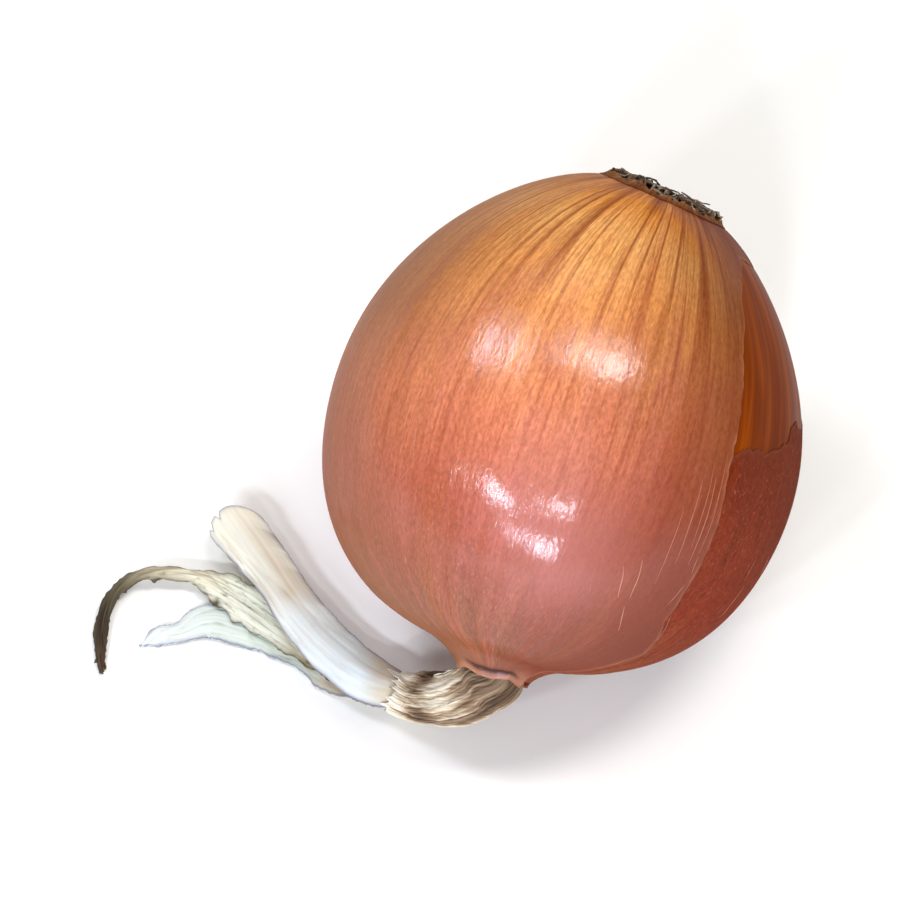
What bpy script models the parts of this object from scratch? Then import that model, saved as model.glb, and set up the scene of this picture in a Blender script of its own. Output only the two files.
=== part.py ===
"""A yellow onion with its dried top, lying on its side on a small flat spot.

The bulb is a body turned about the axis that runs from its root end to its neck. It lies with
the neck towards the front left and lower than the root end, so that the dry neck comes down to
the surface and the leaves trail along it. The origin is on the flat spot under the bulb, +Z is
up, and the side that shows best faces up and towards -Y.
"""

import bmesh
import bpy
import numpy as np
from mathutils import Euler, Matrix, Vector

MM = 0.001
GAP = 0.3 * MM
MERGE = 0.05 * MM

# How the bulb lies: where its neck points, seen from above, and how far it drops below level
NECK_HEADING = np.radians(248.0)
NECK_DROP = np.radians(30.0)
FLAT_SPOT_DEPTH = 0.7 * MM

# Bulb: places along its axis, minus towards the root end and plus towards the neck, and radii.
# The handles pull the outline's three curves: a cone at the root end, a full shoulder and the lip
BULB_RADIUS = 37.8 * MM
BELLY_AT = 3.0 * MM
ROOT_EDGE_AT, ROOT_EDGE_RADIUS = -39.2 * MM, 10.0 * MM
SHOULDER_AT, SHOULDER_RADIUS = 37.6 * MM, 12.0 * MM
LIP_AT, LIP_RADIUS = 41.4 * MM, 5.6 * MM
CONE_HANDLES = ((-37.0 * MM, 18.5 * MM), (-21.5 * MM, BULB_RADIUS))
SHOULDER_HANDLES = ((17.5 * MM, BULB_RADIUS), (33.8 * MM, 30.5 * MM))
LIP_HANDLES = ((38.0 * MM, 9.4 * MM), (39.6 * MM, 7.0 * MM))
BULB_SIDES = 72
OVAL, OVAL_TURN = 0.010, 0.6
LOBES, LOBE_TURN = 0.005, 1.0
RIBS, RIB_DEPTH = 18, 0.004

# The bulb grew a little askew: its root end is set aside, both ends are tilted and the lip leans
ROOT_SWAY, ROOT_TILT = 2.6 * MM, 0.09
NECK_TILT, LIP_LEAN, LEAN_FROM = 0.03, 0.25, 35.0 * MM

# The outer skin's edge round the neck is torn into tongues with notches between them
LIP_TEARS, LIP_TEAR_DEPTH, LIP_TEARS_FROM = 5, 1.0 * MM, 38.4 * MM

# Hollows at the two ends of the bulb, which hold the basal plate and the foot of the neck
ROOT_HOLLOW_RADIUS, ROOT_HOLLOW_DEPTH = 9.0 * MM, 1.3 * MM
NECK_HOLLOW_RADIUS, NECK_HOLLOW_DEPTH = 5.0 * MM, 4.4 * MM
HOLLOW_BEVEL = 0.2 * MM

# Basal plate and its dried root stubs
PLATE_THICKNESS, PLATE_DOME, PLATE_BEVEL = 1.9 * MM, 0.9 * MM, 0.3 * MM
PLATE_SIDES, PLATE_LUMPS, PLATE_LUMP_DEPTH = 30, 5, 0.02
STUBS, STUB_SIDES, STUB_STEPS, STUB_INSET, STUB_SEED = 44, 5, 3, 1.2 * MM, 11
STUB_RADIUS, STUB_TIP_RADIUS, STUB_SUNK = 0.55 * MM, 0.35 * MM, 0.8 * MM
STUB_LENGTH = (1.2 * MM, 2.6 * MM)
STUB_LEAN, STUB_LEAN_SPREAD, STUB_CURL = 0.9, 0.25, 0.9
GOLDEN_ANGLE = np.pi * (3.0 - np.sqrt(5.0))

# Neck: its middle line past the bulb, its radii across and upwards, and the folds of its skin
NECK_FOOT_GAP, NECK_ASIDE, NECK_STRAIGHT_TO = 0.6 * MM, 1.3 * MM, 41.2 * MM
NECK_ROUTE = np.array([(-12.9, -32.0, 16.9), (-16.6, -31.2, 12.8), (-20.2, -28.6, 7.8), (-23.4, -26.6, 5.0),
                       (-25.8, -25.3, 4.2)]) * MM
NECK_FOOT_RADIUS, NECK_COLLAR_RADIUS, NECK_BEND_RADIUS = 3.8 * MM, 4.1 * MM, 4.2 * MM
COLLAR_PAST_LIP = 0.8 * MM
NECK_RINGS, ROUTE_STEPS = 22, 1000
MOUTH_ACROSS, MOUTH_UP, MOUTH_WALL, MOUTH_DEPTH = 4.5 * MM, 3.7 * MM, 0.6 * MM, 4.4 * MM
MOUTH_TEARS, MOUTH_TEAR_DEPTH = 7, 0.9 * MM
NECK_SIDES = 40
FOLDS, FOLD_DEPTH, FOLD_TWIST = 6, 0.045, 2.4

# Leaves: each row is the crest of the blade (x, y, z), its width to the left and to the right,
# how far its edges hang below the crest, how far its left edge is tilted up, and its thickness
BROAD_LEAF = np.array([
    (-23.5, -26.8, 7.2, 3.3, 3.3, 2.4, 0.0, 0.7),
    (-26.0, -25.4, 6.5, 3.5, 3.5, 2.4, 0.0, 0.7),
    (-30.6, -22.8, 5.9, 4.4, 4.3, 2.4, 0.2, 0.7),
    (-37.0, -17.0, 5.3, 4.3, 4.8, 2.1, 0.5, 0.7),
    (-42.6, -9.8, 4.9, 3.7, 4.6, 1.6, 0.7, 0.7),
    (-45.2, -5.6, 4.8, 3.4, 4.5, 1.4, 0.7, 0.7),
    (-47.8, -1.2, 4.7, 3.8, 4.6, 1.3, 0.7, 0.7),
    (-51.8, 5.2, 4.9, 4.8, 4.8, 1.0, 0.5, 0.7),
    (-54.3, 9.2, 5.3, 4.7, 4.4, 0.8, 0.4, 0.7),
]) * MM
WITHERED_LEAF = np.array([
    (-23.5, -26.8, 4.6, 2.4, 2.4, 0.3, 0.0, 0.6),
    (-26.0, -25.4, 3.8, 2.4, 2.4, 0.3, 0.0, 0.6),
    (-33.4, -21.2, 3.0, 2.7, 2.6, 0.4, 0.0, 0.6),
    (-39.4, -16.7, 2.7, 3.0, 3.0, 0.4, 0.0, 0.6),
    (-45.4, -11.9, 2.6, 3.4, 3.2, 0.4, 0.0, 0.6),
    (-50.2, -7.8, 2.6, 3.6, 3.5, 0.4, 0.0, 0.6),
    (-54.1, -5.0, 2.7, 2.9, 3.0, 0.4, 0.0, 0.7),
    (-58.2, -2.8, 3.0, 1.4, 1.4, 0.5, 0.0, 0.9),
    (-62.6, -2.0, 3.5, 1.4, 1.4, 0.5, 0.1, 1.0),
    (-67.8, -2.3, 3.6, 1.6, 1.5, 0.6, 0.2, 1.0),
    (-71.8, -5.0, 3.1, 1.1, 1.1, 0.5, 0.2, 1.0),
    (-73.8, -9.4, 2.5, 1.1, 1.1, 0.5, 0.1, 1.0),
    (-74.3, -14.6, 1.8, 0.8, 0.8, 0.3, 0.0, 0.9),
    (-74.0, -20.0, 1.2, 0.4, 0.4, 0.1, 0.0, 0.7),
]) * MM
RAGGED_LEAF = np.array([
    (-23.5, -26.8, 3.5, 1.7, 1.7, 0.1, 0.0, 0.6),
    (-26.0, -25.4, 2.6, 1.8, 1.8, 0.1, 0.0, 0.6),
    (-29.2, -24.1, 1.7, 2.4, 2.2, 0.1, 0.0, 0.6),
    (-33.4, -21.9, 1.1, 2.8, 2.6, 0.1, 0.0, 0.6),
    (-37.6, -19.8, 1.0, 3.2, 2.8, 0.1, 0.0, 0.6),
    (-39.8, -18.6, 1.0, 2.0, 2.9, 0.1, 0.0, 0.6),
    (-45.4, -14.7, 1.0, 2.2, 3.0, 0.1, 0.0, 0.6),
    (-51.4, -11.4, 1.0, 3.1, 3.1, 0.1, 0.0, 0.6),
    (-57.4, -10.1, 1.0, 3.3, 3.3, 0.1, 0.0, 0.6),
    (-61.6, -12.2, 1.0, 1.9, 1.9, 0.1, 0.0, 0.6),
    (-64.7, -12.7, 1.0, 1.7, 1.6, 0.1, 0.0, 0.6),
    (-68.0, -14.7, 0.9, 0.3, 0.3, 0.0, 0.0, 0.6),
]) * MM
CREST_STEPS = 400
BROAD_END_ROUND = 3.2 * MM
NICKS, NICK_DEPTH, NICK_HALF_WIDTH = (-1 / 3, -5 / 6), 0.9 * MM, 1 / 6

SKIN = (0.56, 0.20, 0.09)
ROOTS = (0.24, 0.18, 0.12)
DRY_NECK = (0.40, 0.25, 0.13)
IVORY = (0.86, 0.82, 0.70)
PALE_GREEN = (0.78, 0.80, 0.68)
WITHERED = (0.20, 0.17, 0.11)


def clear_scene():
    for thing in list(bpy.data.objects):
        bpy.data.objects.remove(thing, do_unlink=True)


def material(name, colour, roughness):
    made = bpy.data.materials.new(name)
    made.use_nodes = True
    shader = made.node_tree.nodes["Principled BSDF"]
    shader.inputs["Base Color"].default_value = (*colour, 1.0)
    shader.inputs["Roughness"].default_value = roughness
    shader.inputs["Metallic"].default_value = 0.0
    made.diffuse_color = (*colour, 1.0)
    return made


def add_object(name, points, faces, finish):
    """A smooth object from points and faces, with every face turned to look out."""
    mesh = bpy.data.meshes.new(name)
    mesh.from_pydata([tuple(p) for p in points], [], [tuple(int(i) for i in f) for f in faces])
    shape = bmesh.new()
    shape.from_mesh(mesh)
    bmesh.ops.recalc_face_normals(shape, faces=shape.faces)
    shape.to_mesh(mesh)
    shape.free()
    mesh.materials.append(finish)
    mesh.shade_smooth()
    made = bpy.data.objects.new(name, mesh)
    bpy.context.scene.collection.objects.link(made)
    return made


def bezier(start, leaving, arriving, end, count):
    """Points on the cubic curve from start to end that those two handles pull."""
    s = np.linspace(0.0, 1.0, count)[:, None]
    start, leaving, arriving, end = (np.array(p) for p in (start, leaving, arriving, end))
    back = 1 - s
    return back ** 3 * start + 3 * back ** 2 * s * leaving + 3 * back * s ** 2 * arriving + s ** 3 * end


def smooth_rows(rows, count):
    """Rows evenly spaced along the smooth curve through the given rows, measured on x, y and z."""
    steps = np.linalg.norm(np.diff(rows[:, :3], axis=0), axis=1)
    knots = np.concatenate(([0.0], np.cumsum(steps)))
    slopes = np.gradient(rows, knots, axis=0)
    where = np.linspace(0.0, knots[-1], 20 * count)
    i = np.clip(np.searchsorted(knots, where, side="right") - 1, 0, len(rows) - 2)
    span = (knots[i + 1] - knots[i])[:, None]
    s = (where - knots[i])[:, None] / span
    curve = ((2 * s ** 3 - 3 * s ** 2 + 1) * rows[i] + (s ** 3 - 2 * s ** 2 + s) * span * slopes[i]
             + (3 * s ** 2 - 2 * s ** 3) * rows[i + 1] + (s ** 3 - s ** 2) * span * slopes[i + 1])
    length = np.concatenate(([0.0], np.cumsum(np.linalg.norm(np.diff(curve[:, :3], axis=0), axis=1))))
    even = np.linspace(0.0, length[-1], count)
    return np.column_stack([np.interp(even, length, column) for column in curve.T]), length[-1]


def ring_faces(rings, sides):
    """Quads between rings of points, and a fan at each end to the two poles that follow them."""
    faces = []
    for ring in range(rings - 1):
        for side in range(sides):
            after = (side + 1) % sides
            low, high = ring * sides, (ring + 1) * sides
            faces.append((low + side, low + after, high + after, high + side))
    first_pole, last_pole = rings * sides, rings * sides + 1
    top = (rings - 1) * sides
    for side in range(sides):
        after = (side + 1) % sides
        faces.append((first_pole, after, side))
        faces.append((last_pole, top + side, top + after))
    return faces


def askew(points):
    """Points about the bulb's axis, moved and tilted sideways as its two ends are."""
    points = np.array(points)
    across, height = points[:, 1], points[:, 2]
    end = height / -ROOT_EDGE_AT
    aside = ROOT_SWAY * np.clip(-end, 0.0, None) ** 4 + LIP_LEAN * np.clip(height - LEAN_FROM, 0.0, None)
    tilt = np.where(height < 0, ROOT_TILT, NECK_TILT) * end ** 3
    return np.column_stack((points[:, 0], across + aside, height - tilt * across))


def turned(name, profile, sides, shape, finish):
    """A body turned about Z from (height, radius) rows, which `shape` may change by angle."""
    angle = np.arange(sides) * 2 * np.pi / sides
    heights, radii = shape(profile[:, 0][:, None], profile[:, 1][:, None], angle[None, :])
    rings = np.stack((radii * np.cos(angle), radii * np.sin(angle), heights), axis=-1).reshape(-1, 3)
    poles = [(0.0, 0.0, profile[0, 0]), (0.0, 0.0, profile[-1, 0])]
    return add_object(name, askew(np.vstack((rings, poles))), ring_faces(len(profile), sides), finish)


def shoulder(count):
    return bezier((BELLY_AT, BULB_RADIUS), *SHOULDER_HANDLES, (SHOULDER_AT, SHOULDER_RADIUS), count)


def bulb_profile():
    """Rows of (place along the axis, radius), from the root hollow over the belly into the neck hollow."""
    bevel = HOLLOW_BEVEL
    root_floor = ROOT_EDGE_AT + ROOT_HOLLOW_DEPTH
    root_hollow = [(root_floor, ROOT_HOLLOW_RADIUS / 2), (root_floor, ROOT_HOLLOW_RADIUS - bevel),
                   (root_floor - bevel, ROOT_HOLLOW_RADIUS), (ROOT_EDGE_AT + bevel, ROOT_HOLLOW_RADIUS)]
    root_cone = bezier((ROOT_EDGE_AT, ROOT_EDGE_RADIUS), *CONE_HANDLES, (BELLY_AT, BULB_RADIUS), 18)
    lip = bezier((SHOULDER_AT, SHOULDER_RADIUS), *LIP_HANDLES, (LIP_AT, LIP_RADIUS), 6)
    neck_floor = LIP_AT - NECK_HOLLOW_DEPTH
    neck_hollow = [(LIP_AT, NECK_HOLLOW_RADIUS + bevel), (LIP_AT - 2 * bevel, NECK_HOLLOW_RADIUS),
                   (neck_floor + bevel, NECK_HOLLOW_RADIUS), (neck_floor, NECK_HOLLOW_RADIUS - bevel),
                   (neck_floor, NECK_HOLLOW_RADIUS / 2)]
    return np.vstack((root_hollow, root_cone, shoulder(16)[1:], lip[1:], neck_hollow))


def bulb_shape(height, radius, angle):
    """The bulb's rows, slightly oval, lobed and ribbed at the belly, with the lip torn into tongues."""
    belly = (radius / BULB_RADIUS) ** 2
    swell = 1 + belly * (OVAL * np.cos(2 * (angle - OVAL_TURN)) + LOBES * np.cos(3 * angle + LOBE_TURN)
                         + RIB_DEPTH * np.cos(RIBS * angle))
    lip = np.clip((height - LIP_TEARS_FROM) / (LIP_AT - LIP_TEARS_FROM), 0.0, 1.0)
    torn = LIP_TEAR_DEPTH * (1 - abs(np.sin(LIP_TEARS * angle / 2)))
    return height - lip * torn, radius * swell


def bulb_place():
    """Where the bulb's middle goes, and its turn, so that its lowest point is cut flat at the origin."""
    outline = shoulder(400)
    down = outline[:, 0] * np.sin(NECK_DROP) + outline[:, 1] * np.cos(NECK_DROP)
    lowest = outline[down.argmax()]
    height = down.max() - FLAT_SPOT_DEPTH
    ahead = lowest[0] * np.cos(NECK_DROP) - lowest[1] * np.sin(NECK_DROP)
    middle = Vector((-ahead * np.cos(NECK_HEADING), -ahead * np.sin(NECK_HEADING), height))
    turn = Euler((0.0, np.pi / 2 + NECK_DROP, NECK_HEADING))
    return middle, turn


def cut_flat_spot(bulb):
    """Cuts the bulb off at the surface that it lies on, and closes the cut with one flat face."""
    place = Matrix.Translation(bulb.location) @ bulb.rotation_euler.to_matrix().to_4x4()
    back = place.inverted()
    shape = bmesh.new()
    shape.from_mesh(bulb.data)
    everything = shape.verts[:] + shape.edges[:] + shape.faces[:]
    cut = bmesh.ops.bisect_plane(shape, geom=everything, plane_co=back @ Vector((0.0, 0.0, 0.0)),
                                 plane_no=back.to_3x3() @ Vector((0.0, 0.0, -1.0)), clear_outer=True)
    rim = [piece for piece in cut["geom_cut"] if isinstance(piece, bmesh.types.BMVert)]
    bmesh.ops.remove_doubles(shape, verts=rim, dist=MERGE)
    open_edges = [edge for edge in shape.edges if edge.is_boundary]
    bmesh.ops.contextual_create(shape, geom=open_edges)
    bmesh.ops.recalc_face_normals(shape, faces=shape.faces)
    shape.to_mesh(bulb.data)
    shape.free()
    bulb.data.set_sharp_from_angle(angle=np.radians(40.0))


def make_bulb():
    bulb = turned("bulb", bulb_profile(), BULB_SIDES, bulb_shape, material("onion_skin", SKIN, 0.35))
    bulb.location, bulb.rotation_euler = bulb_place()
    cut_flat_spot(bulb)
    return bulb


def root_stub(number, random, finish):
    """One tapered stub that leans outwards from the plate and curls to one side."""
    from_middle = (ROOT_HOLLOW_RADIUS - STUB_INSET) * np.sqrt((number + 0.5) / STUBS)
    around = number * GOLDEN_ANGLE
    outward = np.array((np.cos(around), np.sin(around), 0.0))
    sideways = np.array((-np.sin(around), np.cos(around), 0.0))
    lean = STUB_LEAN * from_middle / ROOT_HOLLOW_RADIUS + random.uniform(-STUB_LEAN_SPREAD, STUB_LEAN_SPREAD)
    along = outward * np.sin(lean) - np.array((0.0, 0.0, np.cos(lean)))
    length = random.uniform(*STUB_LENGTH)
    curl = random.uniform(-STUB_CURL, STUB_CURL)
    foot_at = ROOT_EDGE_AT + ROOT_HOLLOW_DEPTH - GAP - PLATE_THICKNESS
    foot = outward * from_middle + np.array((0.0, 0.0, foot_at)) - along * STUB_SUNK
    share = np.linspace(0.0, 1.0, STUB_STEPS + 1)[:, None]
    middles = foot + along * share * (length + STUB_SUNK) + sideways * curl * length * share ** 2
    radii = STUB_RADIUS + (STUB_TIP_RADIUS - STUB_RADIUS) * share
    across = np.cross(along, sideways)
    angle = np.arange(STUB_SIDES) * 2 * np.pi / STUB_SIDES + number
    rings = (middles[:, None, :] + radii[:, None] * np.cos(angle)[None, :, None] * sideways
             + radii[:, None] * np.sin(angle)[None, :, None] * across).reshape(-1, 3)
    poles = np.vstack((middles[0], middles[-1]))
    points = askew(np.vstack((rings, poles)))
    return add_object("stub", points, ring_faces(STUB_STEPS + 1, STUB_SIDES), finish)


def fuse(body, extras):
    """Joins the extra objects to the body in one union, and removes them."""
    group = bpy.data.collections.new("fused")
    bpy.context.scene.collection.children.link(group)
    for extra in extras:
        bpy.context.scene.collection.objects.unlink(extra)
        group.objects.link(extra)
    union = body.modifiers.new("union", "BOOLEAN")
    union.operation = "UNION"
    union.operand_type = "COLLECTION"
    union.collection = group
    union.solver = "EXACT"
    joined = bpy.data.meshes.new_from_object(body.evaluated_get(bpy.context.evaluated_depsgraph_get()))
    body.modifiers.clear()
    body.data = joined
    for extra in extras:
        bpy.data.objects.remove(extra, do_unlink=True)
    bpy.data.collections.remove(group)


def plate_shape(height, radius, angle):
    """The plate's rows, with shallow lumps round its rim."""
    inward = PLATE_LUMP_DEPTH * (1 + np.cos(PLATE_LUMPS * angle)) * radius / ROOT_HOLLOW_RADIUS
    return height + 0 * angle, radius * (1 - inward)


def make_root_crown(bulb):
    """The basal plate, a lumpy woody disc in the bulb's root hollow, with stubs set in a spiral."""
    inner = ROOT_EDGE_AT + ROOT_HOLLOW_DEPTH - GAP
    outer = inner - PLATE_THICKNESS
    rim = ROOT_HOLLOW_RADIUS - GAP
    crest = outer - PLATE_DOME
    back = [(inner, rim / 2), (inner, rim - PLATE_BEVEL), (inner - PLATE_BEVEL, rim)]
    front = bezier((outer + PLATE_BEVEL, rim), (outer, rim), (crest, rim / 2), (crest, rim / 5), 5)
    profile = np.vstack((back, front))
    random = np.random.default_rng(STUB_SEED)
    finish = material("dry_roots", ROOTS, 0.85)
    crown = turned("root_crown", profile, PLATE_SIDES, plate_shape, finish)
    fuse(crown, [root_stub(number, random, finish) for number in range(STUBS)])
    crown.location, crown.rotation_euler = bulb.location, bulb.rotation_euler
    return crown


def make_neck(bulb):
    """The twisted dry neck: a folded tube along its bend, hollowed at its mouth for the leaves."""
    place = Matrix.Translation(bulb.location) @ bulb.rotation_euler.to_matrix().to_4x4()
    foot_at = LIP_AT - NECK_HOLLOW_DEPTH + NECK_FOOT_GAP
    straight = [tuple(place @ Vector((0.0, NECK_ASIDE, height))) for height in (foot_at, NECK_STRAIGHT_TO)]
    route, length = smooth_rows(np.vstack((straight, NECK_ROUTE)), ROUTE_STEPS)
    tangents = np.gradient(route, axis=0)
    tangents /= np.linalg.norm(tangents, axis=1)[:, None]
    across = np.zeros_like(route)
    side = np.cross(tangents[-1], (0.0, 0.0, 1.0))
    for i in range(ROUTE_STEPS - 1, -1, -1):
        side = side - tangents[i] * side.dot(tangents[i])
        side /= np.linalg.norm(side)
        across[i] = side
    upward = np.cross(across, tangents)

    # Places along the route run from 0 at the foot to 1 at the mouth: up the outside, then down
    # into the mouth's hollow, whose wall thickens towards its floor
    foot_edge = GAP / length
    outer_at = np.concatenate(([0.0], np.linspace(foot_edge, 1.0, NECK_RINGS - 1)))
    lip_at = (LIP_AT - foot_at) / length
    collar_at = lip_at + COLLAR_PAST_LIP / length
    knots = (0.0, foot_edge, lip_at, collar_at, 0.5, 1.0)
    foot, collar, bend = NECK_FOOT_RADIUS, NECK_COLLAR_RADIUS, NECK_BEND_RADIUS
    outer_across = np.interp(outer_at, knots, (foot - GAP, foot, foot, collar, bend, MOUTH_ACROSS))
    outer_up = np.interp(outer_at, knots, (foot - GAP, foot, foot, collar, bend, MOUTH_UP))
    fold_depth = np.interp(outer_at, (0.0, collar_at, 0.5, 0.8, 1.0), (0.0, 0.0, 1.0, 0.8, 0.0))
    hollow_at = 1.0 - np.array((0.0, 0.5, 0.9, 1.0)) * MOUTH_DEPTH / length
    narrowing = np.array((1.0, 1.1, 1.3, 2.2)) * MOUTH_WALL
    stations = np.concatenate((outer_at, hollow_at))
    radius_across = np.concatenate((outer_across, MOUTH_ACROSS - narrowing))[:, None]
    radius_up = np.concatenate((outer_up, MOUTH_UP - narrowing))[:, None]
    fold_depth = np.concatenate((fold_depth, np.zeros(len(hollow_at))))[:, None] * FOLD_DEPTH

    angle = (np.arange(NECK_SIDES) * 2 * np.pi / NECK_SIDES)[None, :]
    fold = 1 + fold_depth * np.sin(FOLDS * angle + FOLD_TWIST * stations[:, None] * 2 * np.pi / FOLDS)
    torn = MOUTH_TEAR_DEPTH / length * (1 - abs(np.sin(MOUTH_TEARS * angle / 2)))
    near_mouth = stations[:, None] ** 10
    index = np.rint((stations[:, None] - torn * near_mouth) * (ROUTE_STEPS - 1)).astype(int)
    rings = (route[index] + (radius_across * fold * np.cos(angle))[:, :, None] * across[index]
             + (radius_up * fold * np.sin(angle))[:, :, None] * upward[index])
    poles = np.vstack((route[0], route[index[-1, 0]]))
    points = np.vstack((rings.reshape(-1, 3), poles))
    finish = material("dry_neck", DRY_NECK, 0.7)
    return add_object("neck", points, ring_faces(len(stations), NECK_SIDES), finish)


def blade(name, table, rows, columns, cut_back, finish):
    """A leaf blade over a table of rows: an arch across its crest line, thickened downwards.

    cut_back gives, for each place across from -1 at the left edge to 1 at the right, how far
    the end of the blade is cut back there.
    """
    dense, length = smooth_rows(table, CREST_STEPS)
    tangents = np.gradient(dense[:, :3], axis=0)
    tangents /= np.linalg.norm(tangents, axis=1)[:, None]
    v = np.linspace(-1.0, 1.0, columns)
    u = np.linspace(0.0, 1.0, rows)
    place = u[:, None] * (1.0 - cut_back(v)[None, :] / length)
    index = np.linspace(0.0, 1.0, len(dense))
    row = np.stack([np.interp(place, index, column) for column in dense.T], axis=-1)
    along = np.stack([np.interp(place, index, column) for column in tangents.T], axis=-1)
    side = np.cross(along, (0.0, 0.0, 1.0))
    side /= np.linalg.norm(side, axis=-1)[:, :, None]
    upward = np.cross(side, along)
    width = np.where(v < 0, row[:, :, 3], row[:, :, 4])
    rise = -row[:, :, 5] * v ** 2 - row[:, :, 6] * v
    top = row[:, :, :3] + side * (width * v)[:, :, None] + upward * rise[:, :, None]
    normal = np.cross(np.gradient(top, axis=1), np.gradient(top, axis=0))
    normal /= np.linalg.norm(normal, axis=-1)[:, :, None]
    bottom = top - normal * row[:, :, 7][:, :, None]
    points = np.vstack((top.reshape(-1, 3), bottom.reshape(-1, 3)))

    faces = []
    under = rows * columns
    for i in range(rows - 1):
        for j in range(columns - 1):
            a, b = i * columns + j, i * columns + j + 1
            c, d = b + columns, a + columns
            faces += [(a, b, c), (a, c, d)]
            faces += [(under + a, under + c, under + b), (under + a, under + d, under + c)]
    last = (rows - 1) * columns
    border = (list(range(columns)) + [i * columns + columns - 1 for i in range(1, rows)]
              + list(range(last + columns - 2, last - 1, -1)) + [i * columns for i in range(rows - 2, 0, -1)])
    for here, after in zip(border, border[1:] + border[:1]):
        faces += [(after, here, under + here), (after, under + here, under + after)]
    return add_object(name, points, faces, finish)


def square_end(v):
    return np.zeros_like(v)


def round_nicked_end(v):
    """A rounded end with two small nicks torn in its left half."""
    rounded = BROAD_END_ROUND * (1.0 - np.sqrt(1.0 - 0.95 * v ** 2))
    nicks = sum(NICK_DEPTH * np.clip(1.0 - abs(v - at) / NICK_HALF_WIDTH, 0.0, 1.0) for at in NICKS)
    return rounded + nicks


def make_leaves():
    blade("broad_leaf", BROAD_LEAF, 32, 13, round_nicked_end, material("ivory_leaf", IVORY, 0.6))
    blade("withered_leaf", WITHERED_LEAF, 46, 7, square_end, material("withered_leaf", WITHERED, 0.7))
    blade("ragged_leaf", RAGGED_LEAF, 38, 7, square_end, material("pale_leaf", PALE_GREEN, 0.6))


def main():
    clear_scene()
    bulb = make_bulb()
    make_root_crown(bulb)
    make_neck(bulb)
    make_leaves()


main()
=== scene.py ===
import bpy
import numpy as np
from mathutils import Euler, Matrix


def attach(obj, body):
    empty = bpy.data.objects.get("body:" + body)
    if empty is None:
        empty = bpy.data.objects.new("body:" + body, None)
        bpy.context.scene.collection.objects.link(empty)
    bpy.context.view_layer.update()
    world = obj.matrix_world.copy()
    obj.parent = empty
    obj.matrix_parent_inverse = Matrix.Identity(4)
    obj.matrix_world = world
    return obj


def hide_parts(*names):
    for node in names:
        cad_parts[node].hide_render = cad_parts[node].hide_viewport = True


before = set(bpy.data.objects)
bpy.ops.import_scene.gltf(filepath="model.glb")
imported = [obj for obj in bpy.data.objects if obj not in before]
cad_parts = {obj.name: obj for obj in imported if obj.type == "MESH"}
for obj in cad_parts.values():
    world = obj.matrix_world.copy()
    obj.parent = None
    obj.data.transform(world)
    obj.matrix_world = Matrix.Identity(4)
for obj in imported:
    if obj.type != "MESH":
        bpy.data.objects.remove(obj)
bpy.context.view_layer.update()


# The bulb: fleshy scales, grown as one piece, drawn to a cone at the root end and to a shoulder at
# the neck. The scale itself is firm and waxy, deep orange-brown where no dry skin covers it.
MM = 0.001
NECK_HEADING, NECK_DROP = np.radians(248.0), np.radians(30.0)
FLAT_SPOT_DEPTH = 0.7 * MM
BULB_RADIUS, BELLY_AT = 37.8 * MM, 3.0 * MM
ROOT_EDGE = (-39.2 * MM, 10.0 * MM)
SHOULDER = (37.6 * MM, 12.0 * MM)
LIP = (41.4 * MM, 5.6 * MM)
CONE_HANDLES = ((-37.0 * MM, 18.5 * MM), (-21.5 * MM, BULB_RADIUS))
SHOULDER_HANDLES = ((17.5 * MM, BULB_RADIUS), (33.8 * MM, 30.5 * MM))
LIP_HANDLES = ((38.0 * MM, 9.4 * MM), (39.6 * MM, 7.0 * MM))
PAST_ROOT_EDGE, PAST_LIP = (-39.5 * MM, 8.8 * MM), (42.9 * MM, 4.7 * MM)
ROOT_SWAY, ROOT_TILT = 2.6 * MM, 0.09
NECK_TILT, LIP_LEAN, LEAN_FROM = 0.03, 0.25, 35.0 * MM
OVAL, OVAL_TURN, LOBES, LOBE_TURN = 0.010, 0.6, 0.005, 1.0
RIBS, RIB_DEPTH = 18, 0.0025
VEINS, VEIN_DEPTH, VEIN_DRIFT = (23, 41, 53, 64), 0.006 * MM, 14 * MM
DENTS, DENT_DEPTH, DENT_LENGTH = ((3, 2), (5, 3), (7, 2), (4, 5), (9, 4)), 0.07 * MM, 26 * MM
SCALE_SIDES, SCALE_ROWS, SCALE_SHORT_OF_LIP, SCALE_UNDERSIDE = 300, 150, 0.6 * MM, 0.3 * MM
ROOT_HOLLOW_RADIUS, ROOT_HOLLOW_DEPTH, ROOT_RIM = 9.0 * MM, 1.3 * MM, 0.2 * MM
NECK_HOLLOW_RADIUS, NECK_HOLLOW_DEPTH, LIP_RIM = 5.0 * MM, 4.4 * MM, 0.8 * MM
random = np.random.default_rng(23)


def bezier(start, leaving, arriving, end, count):
    """Points on the cubic curve from start to end that those two handles pull."""
    s = np.linspace(0.0, 1.0, count)[:, None]
    start, leaving, arriving, end = (np.array(p) for p in (start, leaving, arriving, end))
    back = 1 - s
    return back ** 3 * start + 3 * back ** 2 * s * leaving + 3 * back * s ** 2 * arriving + s ** 3 * end


BELLY = (BELLY_AT, BULB_RADIUS)
outline = np.vstack((PAST_ROOT_EDGE, bezier(ROOT_EDGE, *CONE_HANDLES, BELLY, 400),
                     bezier(BELLY, *SHOULDER_HANDLES, SHOULDER, 400)[1:],
                     bezier(SHOULDER, *LIP_HANDLES, LIP, 60)[1:], PAST_LIP))
outline_along = np.concatenate(([0.0], np.cumsum(np.linalg.norm(np.diff(outline, axis=0), axis=1))))
outline_along -= outline_along[1]
outline_slope = np.gradient(outline, outline_along, axis=0)
LIP_ALONG = outline_along[-2]
DENT_TURNS = random.uniform(0.0, 2 * np.pi, (len(DENTS), 2))
VEIN_TURNS = random.uniform(0.0, 2 * np.pi, (len(VEINS), 2))

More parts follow.
